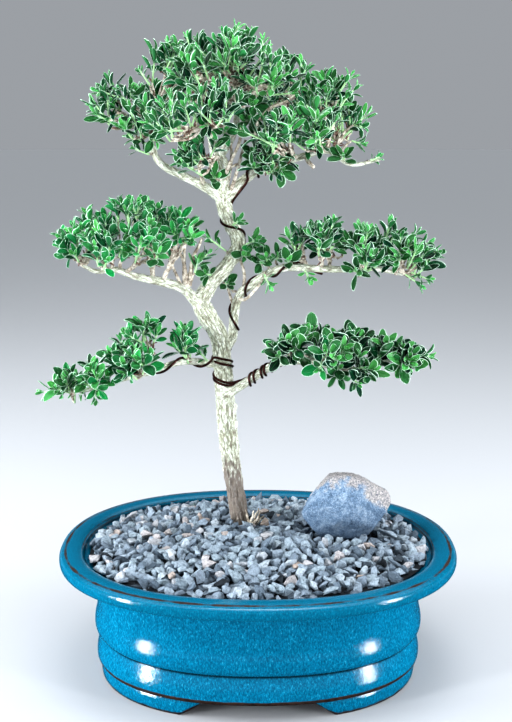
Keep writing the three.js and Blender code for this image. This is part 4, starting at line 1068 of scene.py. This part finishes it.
# Young bark: tan with dark scars on the living twigs, and a dull red-brown on the dead spurs.
twig_bark = new_material("young twig bark")
place = add_node(twig_bark, "TexCoord", out="Object")
scars = add_node(twig_bark, "TexNoise", place, Scale=420, Detail=4, Roughness=0.65)
tone = add_node(twig_bark, "ValToRGB", scars, stops=[
    (0.32, "#53483d"), (0.45, "#938878"), (0.58, "#d2cabb")])
dead_mark = add_node(twig_bark, "Attribute", attribute_name="dead", out="Fac")
spur_tone = add_node(twig_bark, "Mix", dead_mark, tone, paint("#6b5145"))
bump = add_node(twig_bark, "Bump", Height=scars, Strength=0.5, Distance=0.0004)
add_node(twig_bark, "BsdfPrincipled", spur_tone, Roughness=0.8, Normal=bump)
twigs = make_piece("twigs", points, faces, [twig_bark], marks={"dead": dead})
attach(twigs, "root")
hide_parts("tree")

# Leafy sprays
# Variegated serissa leaves in crossed pairs that crowd into a rosette at the end of each shoot:
# 8 to 12 mm long, leathery and glossy, deep green with a thin cream margin, yellow-green when young.
LEAF_THICKNESS = 0.26 / 11
LEAF_CURL = 0.35
# A leaf's outline up to its tip, as [share of its length, share of its half width].
LEAF_OUTLINE = [
    (0, 0.05), (0.08, 0.13), (0.2, 0.46), (0.36, 0.8), (0.54, 1), (0.72, 0.95), (0.87, 0.7), (0.96, 0.38),
]
# A cross-section, as [place across, rise of the fold, 1 on the lower side].
LEAF_SECTION = (
    (-1, 1, 0.4), (-0.5, 0.35, 0), (0, 0, 0), (0.5, 0.35, 0), (1, 1, 0.4), (0.5, 0.3, 1), (0, 0, 1),
    (-0.5, 0.3, 1),
)


def leaf_mesh(root, way, facing, length, slim, arch, fold):
    """Points of one closed leaf and its marks. facing is the way its upper side looks."""
    across = unit(np.cross(facing, way))
    normal = np.cross(way, across)
    points, edges, unders, veins = [], [], [], []
    for span, half in LEAF_OUTLINE:
        half_width = half * length * slim
        bow = arch * span * (1 - span) - LEAF_CURL * arch * span
        middle = root + way * span * length + normal * bow * length
        for place, rise, under in LEAF_SECTION:
            low = LEAF_THICKNESS * length if under == 1 else 0
            points.append(middle + across * place * half_width
                          + normal * (rise * fold * half_width - low))
            edges.append((1 - abs(place)) * half)
            unders.append(under)
            veins.append(1.0 if place == 0 and under == 0 else 0.0)
    points.append(root + way * length - normal * LEAF_CURL * arch * length)
    points.append(points[2] * 0.5 + points[6] * 0.5)
    for _ in range(2):
        edges.append(0.0)
        unders.append(0.4)
        veins.append(0.0)
    return points, edges, unders, veins


LEAF_RING = len(LEAF_SECTION)
leaf_faces = ring_faces(len(LEAF_OUTLINE), LEAF_RING)
leaf_tip = LEAF_RING * len(LEAF_OUTLINE)
for i in range(LEAF_RING):
    j = (i + 1) % LEAF_RING
    leaf_faces.append((leaf_tip - LEAF_RING + i, leaf_tip - LEAF_RING + j, leaf_tip))
    leaf_faces.append((j, i, leaf_tip + 1))

# Leathery leaf: glossy deep green with a pale vein, a duller lower side and a wavering cream margin.
leaf_green = new_material("serissa leaf")
place = add_node(leaf_green, "TexCoord", out="Object")
LEAF_MARKS = ("edge", "under", "vein", "tone", "young")
marked = {key: add_node(leaf_green, "Attribute", attribute_name=key, out="Fac") for key in LEAF_MARKS}
old_tone = add_node(leaf_green, "ValToRGB", marked["tone"], stops=[
    (0, "#00110c"), (0.35, "#001d13"), (0.7, "#00331f"), (1, "#107e3e")])
young = add_node(leaf_green, "Mix", marked["young"], old_tone, paint("#60bd60"))
vein = add_node(leaf_green, "MapRange", marked["vein"], From_Min=0.86, From_Max=1, To_Max=0.4)
veined = add_node(leaf_green, "Mix", vein, young, paint("#3c9450"))
lower_side = add_node(leaf_green, "MapRange", marked["under"], From_Min=0.5, From_Max=0.9, To_Max=0.35)
lower = add_node(leaf_green, "Mix", lower_side, veined, paint("#2e784c"))
cells = add_node(leaf_green, "TexNoise", place, Scale=600, Detail=3)
wavy = add_node(leaf_green, "Math", cells, -0.3, marked["edge"], operation="MULTIPLY_ADD")
margin = add_node(leaf_green, "MapRange", wavy, From_Min=-0.025, From_Max=-0.085)
margined = add_node(leaf_green, "Mix", margin, lower, paint("#d2efd8"))
bump = add_node(leaf_green, "Bump", Height=cells, Strength=0.15, Distance=0.0003)
add_node(leaf_green, "BsdfPrincipled", margined, Roughness=0.36, Normal=bump,
    Specular_IOR_Level=0.2, Coat_Weight=0.1, Coat_Roughness=0.12)

# Green shoot: the soft, pale green stem of this year's growth.
shoot_green = new_material("green shoot")
add_node(shoot_green, "BsdfPrincipled", paint("#aad39a"), Roughness=0.5)

# The pairs of leaves on a shoot, as [share of the shoot, lean from its way, share of the full length,
# youth].
LEAF_PAIRS = [
    (0.35, 1.25, 0.85, 0), (0.62, 1.2, 1, 0), (0.85, 0.95, 0.9, 0.1), (1, 0.6, 0.6, 0.5),
    (1, 0.25, 0.34, 1),
]
STEM_RADII = [0.52, 0.5, 0.46, 0.36]
STEM_SIDES = 6
LEAF_SEED = 900
LONE_SEED = 1200
LONE_WILDNESS = 0.5


def leafy_piece(name, shoots, draw, slim, full, wild, painted_light_lift=0.0):
    """Stems of some shoots and their leaves, as a single piece. A wild one is untidier."""
    points, faces = [], []
    marks = {key: [] for key in LEAF_MARKS}
    for foot, tip, way, fresh in shoots:
        side_a = unit(np.cross(way, UP + np.array([0.02, 0.01, 0])))
        side_b = np.cross(way, side_a)
        turn = draw.uniform(0, math.pi)
        vigour = full * draw.uniform(0.8, 1.08)
        shade = draw.random()
        for share, lean, part, youth in LEAF_PAIRS:
            turn += math.pi / 2 + draw.uniform(-0.3, 0.3)
            for half in (0, math.pi):
                if draw.random() < (0.08 if share > 0.5 else 0.35 * wild):
                    continue
                angle = turn + half + draw.uniform(-0.25, 0.25) * (1 + wild)
                out = side_a * math.cos(angle) + side_b * math.sin(angle)
                tilt = (lean - 0.3 * wild) * draw.uniform(0.7, 1.12)
                leaf_way = way * math.cos(tilt) + out * math.sin(tilt)
                leaf_way = unit(leaf_way + UP * 0.22 * draw.random())
                facing = way * math.sin(tilt) - out * math.cos(tilt)
                facing = facing + (0.15 + 0.3 * wild) * stray(draw)
                facing = unit(facing - leaf_way * (facing @ leaf_way))
                size = part * vigour * draw.uniform(0.8, 1.1)
                root = foot + (tip - foot) * share + out * 0.35
                more, *leaf_marks = leaf_mesh(
                    root, leaf_way, facing, size, slim * draw.uniform(0.75, 1.3),
                    draw.uniform(-0.2, 0.45), draw.uniform(0.1, 0.4 + 0.5 * wild))
                faces.extend([[len(points) + v for v in f] for f in leaf_faces])
                points.extend(more)
                for key, values in zip(LEAF_MARKS, leaf_marks):
                    marks[key].extend(values)
                # The pad's painted light lifts the tone of all its leaves where the lamps light it more,
                # and lowers it elsewhere.
                marks["tone"].extend([painted_light_lift + 0.6 * shade + 0.4 * draw.random()] * len(more))
                marks["young"].extend([min(1, youth * draw.uniform(0.4, 1.3) + 0.5 * fresh)] * len(more))
    leaf_face_count = len(faces)
    for foot, tip, *_ in shoots:
        line = bezier(foot, (foot + tip) / 2, tip, 4)
        more, more_faces = tube(np.column_stack([line, STEM_RADII]), STEM_SIDES, len(points))
        points.extend(more)
        faces.extend(more_faces)
        for values in marks.values():
            values.extend([0.0] * len(more))
    slots = [0] * leaf_face_count + [1] * (len(faces) - leaf_face_count)
    return make_piece(name, points, faces, [leaf_green, shoot_green], slots=slots, marks=marks)


for number, ((limb, _, _), shoots) in enumerate(zip(sprays, spray_shoots)):
    spray_name = f"{limb}_{number + 1:02d}"
    _, _, _, _, slim, full, wild, _, painted_light_lift = HABITS[limb[:4]]
    spray = leafy_piece("leaves_" + spray_name, shoots, random.Random(LEAF_SEED + number),
                        slim, full, wild, painted_light_lift)
    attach(spray, "root")
    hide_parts("spray_" + spray_name)

for number, (foot, tip, way, full, slim, fresh) in enumerate(single_shoots):
    shoot = leafy_piece(f"young_shoot_{number + 1:02d}", [(foot, tip, way, fresh)],
                        random.Random(LONE_SEED + number), slim, full, LONE_WILDNESS)
    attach(shoot, "root")

# Stage
# A plain pale floor in a soft studio. The glaze mirrors a broad light overhead and one softbox at
# each side in front. The fills at the sides and a narrow one from the front, at the upper trunk,
# don't show in it, and nor does the floor, so that its lower half stays dark.
FLOOR_SIZE = 60
SKY_STRENGTH = 1.35
floor_paint = new_material("pale matt floor")
add_node(floor_paint, "BsdfPrincipled", paint("#b5b6b7"), Roughness=0.9)
bpy.ops.mesh.primitive_plane_add(size=FLOOR_SIZE)
floor = bpy.context.object
floor.name = "floor"
floor.data.materials.append(floor_paint)
floor.visible_glossy = False

world = bpy.data.worlds.new("studio")
bpy.context.scene.world = world
world.use_nodes = True
backdrop = world.node_tree.nodes["Background"]
gaze = add_node(world, "TexCoord", out="Generated")
height = add_node(world, "SeparateXYZ", gaze, out="Z")
dome = add_node(world, "ValToRGB", height, stops=[
    (0, "#83868a"), (0.14, "#83868a"), (0.24, "#3a3e42"), (0.58, "#3a3e42"), (0.82, "#f4f9ff")])
above = add_node(world, "MapRange", height, From_Min=-0.12, From_Max=-0.03, To_Min=0.1)
sky = add_node(world, "Mix", 1, dome, above, blend_type="MULTIPLY")
world.node_tree.links.new(sky, backdrop.inputs["Color"])
backdrop.inputs["Strength"].default_value = SKY_STRENGTH
bpy.context.scene.view_settings.view_transform = "Standard"
bpy.context.scene.view_settings.look = "Medium High Contrast"


def softbox(name, place, target, width, height, power, mirrored=True, spread=math.pi):
    """A rectangular light at place, turned to the target. Sizes are in metres, power in watts."""
    light = bpy.data.lights.new(name, "AREA")
    light.spread = spread
    light.shape = "RECTANGLE"
    light.size = width
    light.size_y = height
    light.energy = power
    light.color = paint("#f3f8ff")[:3]
    made = bpy.data.objects.new(name, light)
    made.location = place
    made.rotation_euler = (Vector(target) - Vector(place)).to_track_quat("-Z", "Y").to_euler()
    made.visible_glossy = mirrored
    bpy.context.scene.collection.objects.link(made)


softbox("overhead softbox", (0.05, -0.15, 1.0), (0, 0, 0.15), 0.4, 0.4, 3.5)
softbox("left softbox", (-0.79, -0.47, 0.12), (0, 0, 0.1), 0.1, 0.6, 13)
softbox("right softbox", (0.79, -0.47, 0.12), (0, 0, 0.1), 0.1, 0.6, 9)
softbox("left fill", (-0.9, -0.1, 0.4), (0, 0, 0.1), 0.4, 0.4, 12, mirrored=False)
softbox("right fill", (0.9, -0.1, 0.4), (0, 0, 0.1), 0.4, 0.4, 8, mirrored=False)
softbox("front fill", (0.3, -0.9, 0.3), (-0.01, 0, 0.25), 0.15, 0.15, 0.15, mirrored=False,
        spread=math.radians(22))

# Camera
# It stands 500 mm in front of the pot's middle, 271 mm up, and is tilted 12 degrees down, so that it
# looks over the rim onto the gravel.
LENS = 51.0
SENSOR_WIDTH = 36.0
CAMERA_AT = (0.006, -0.5, 0.271)
CAMERA_TILT = 12.2
camera_data = bpy.data.cameras.new("camera")
camera_data.lens = LENS
camera_data.sensor_width = SENSOR_WIDTH
camera = bpy.data.objects.new("camera", camera_data)
camera.location = CAMERA_AT
camera.rotation_euler = (math.radians(90 - CAMERA_TILT), 0, 0)
bpy.context.scene.collection.objects.link(camera)
bpy.context.scene.camera = camera
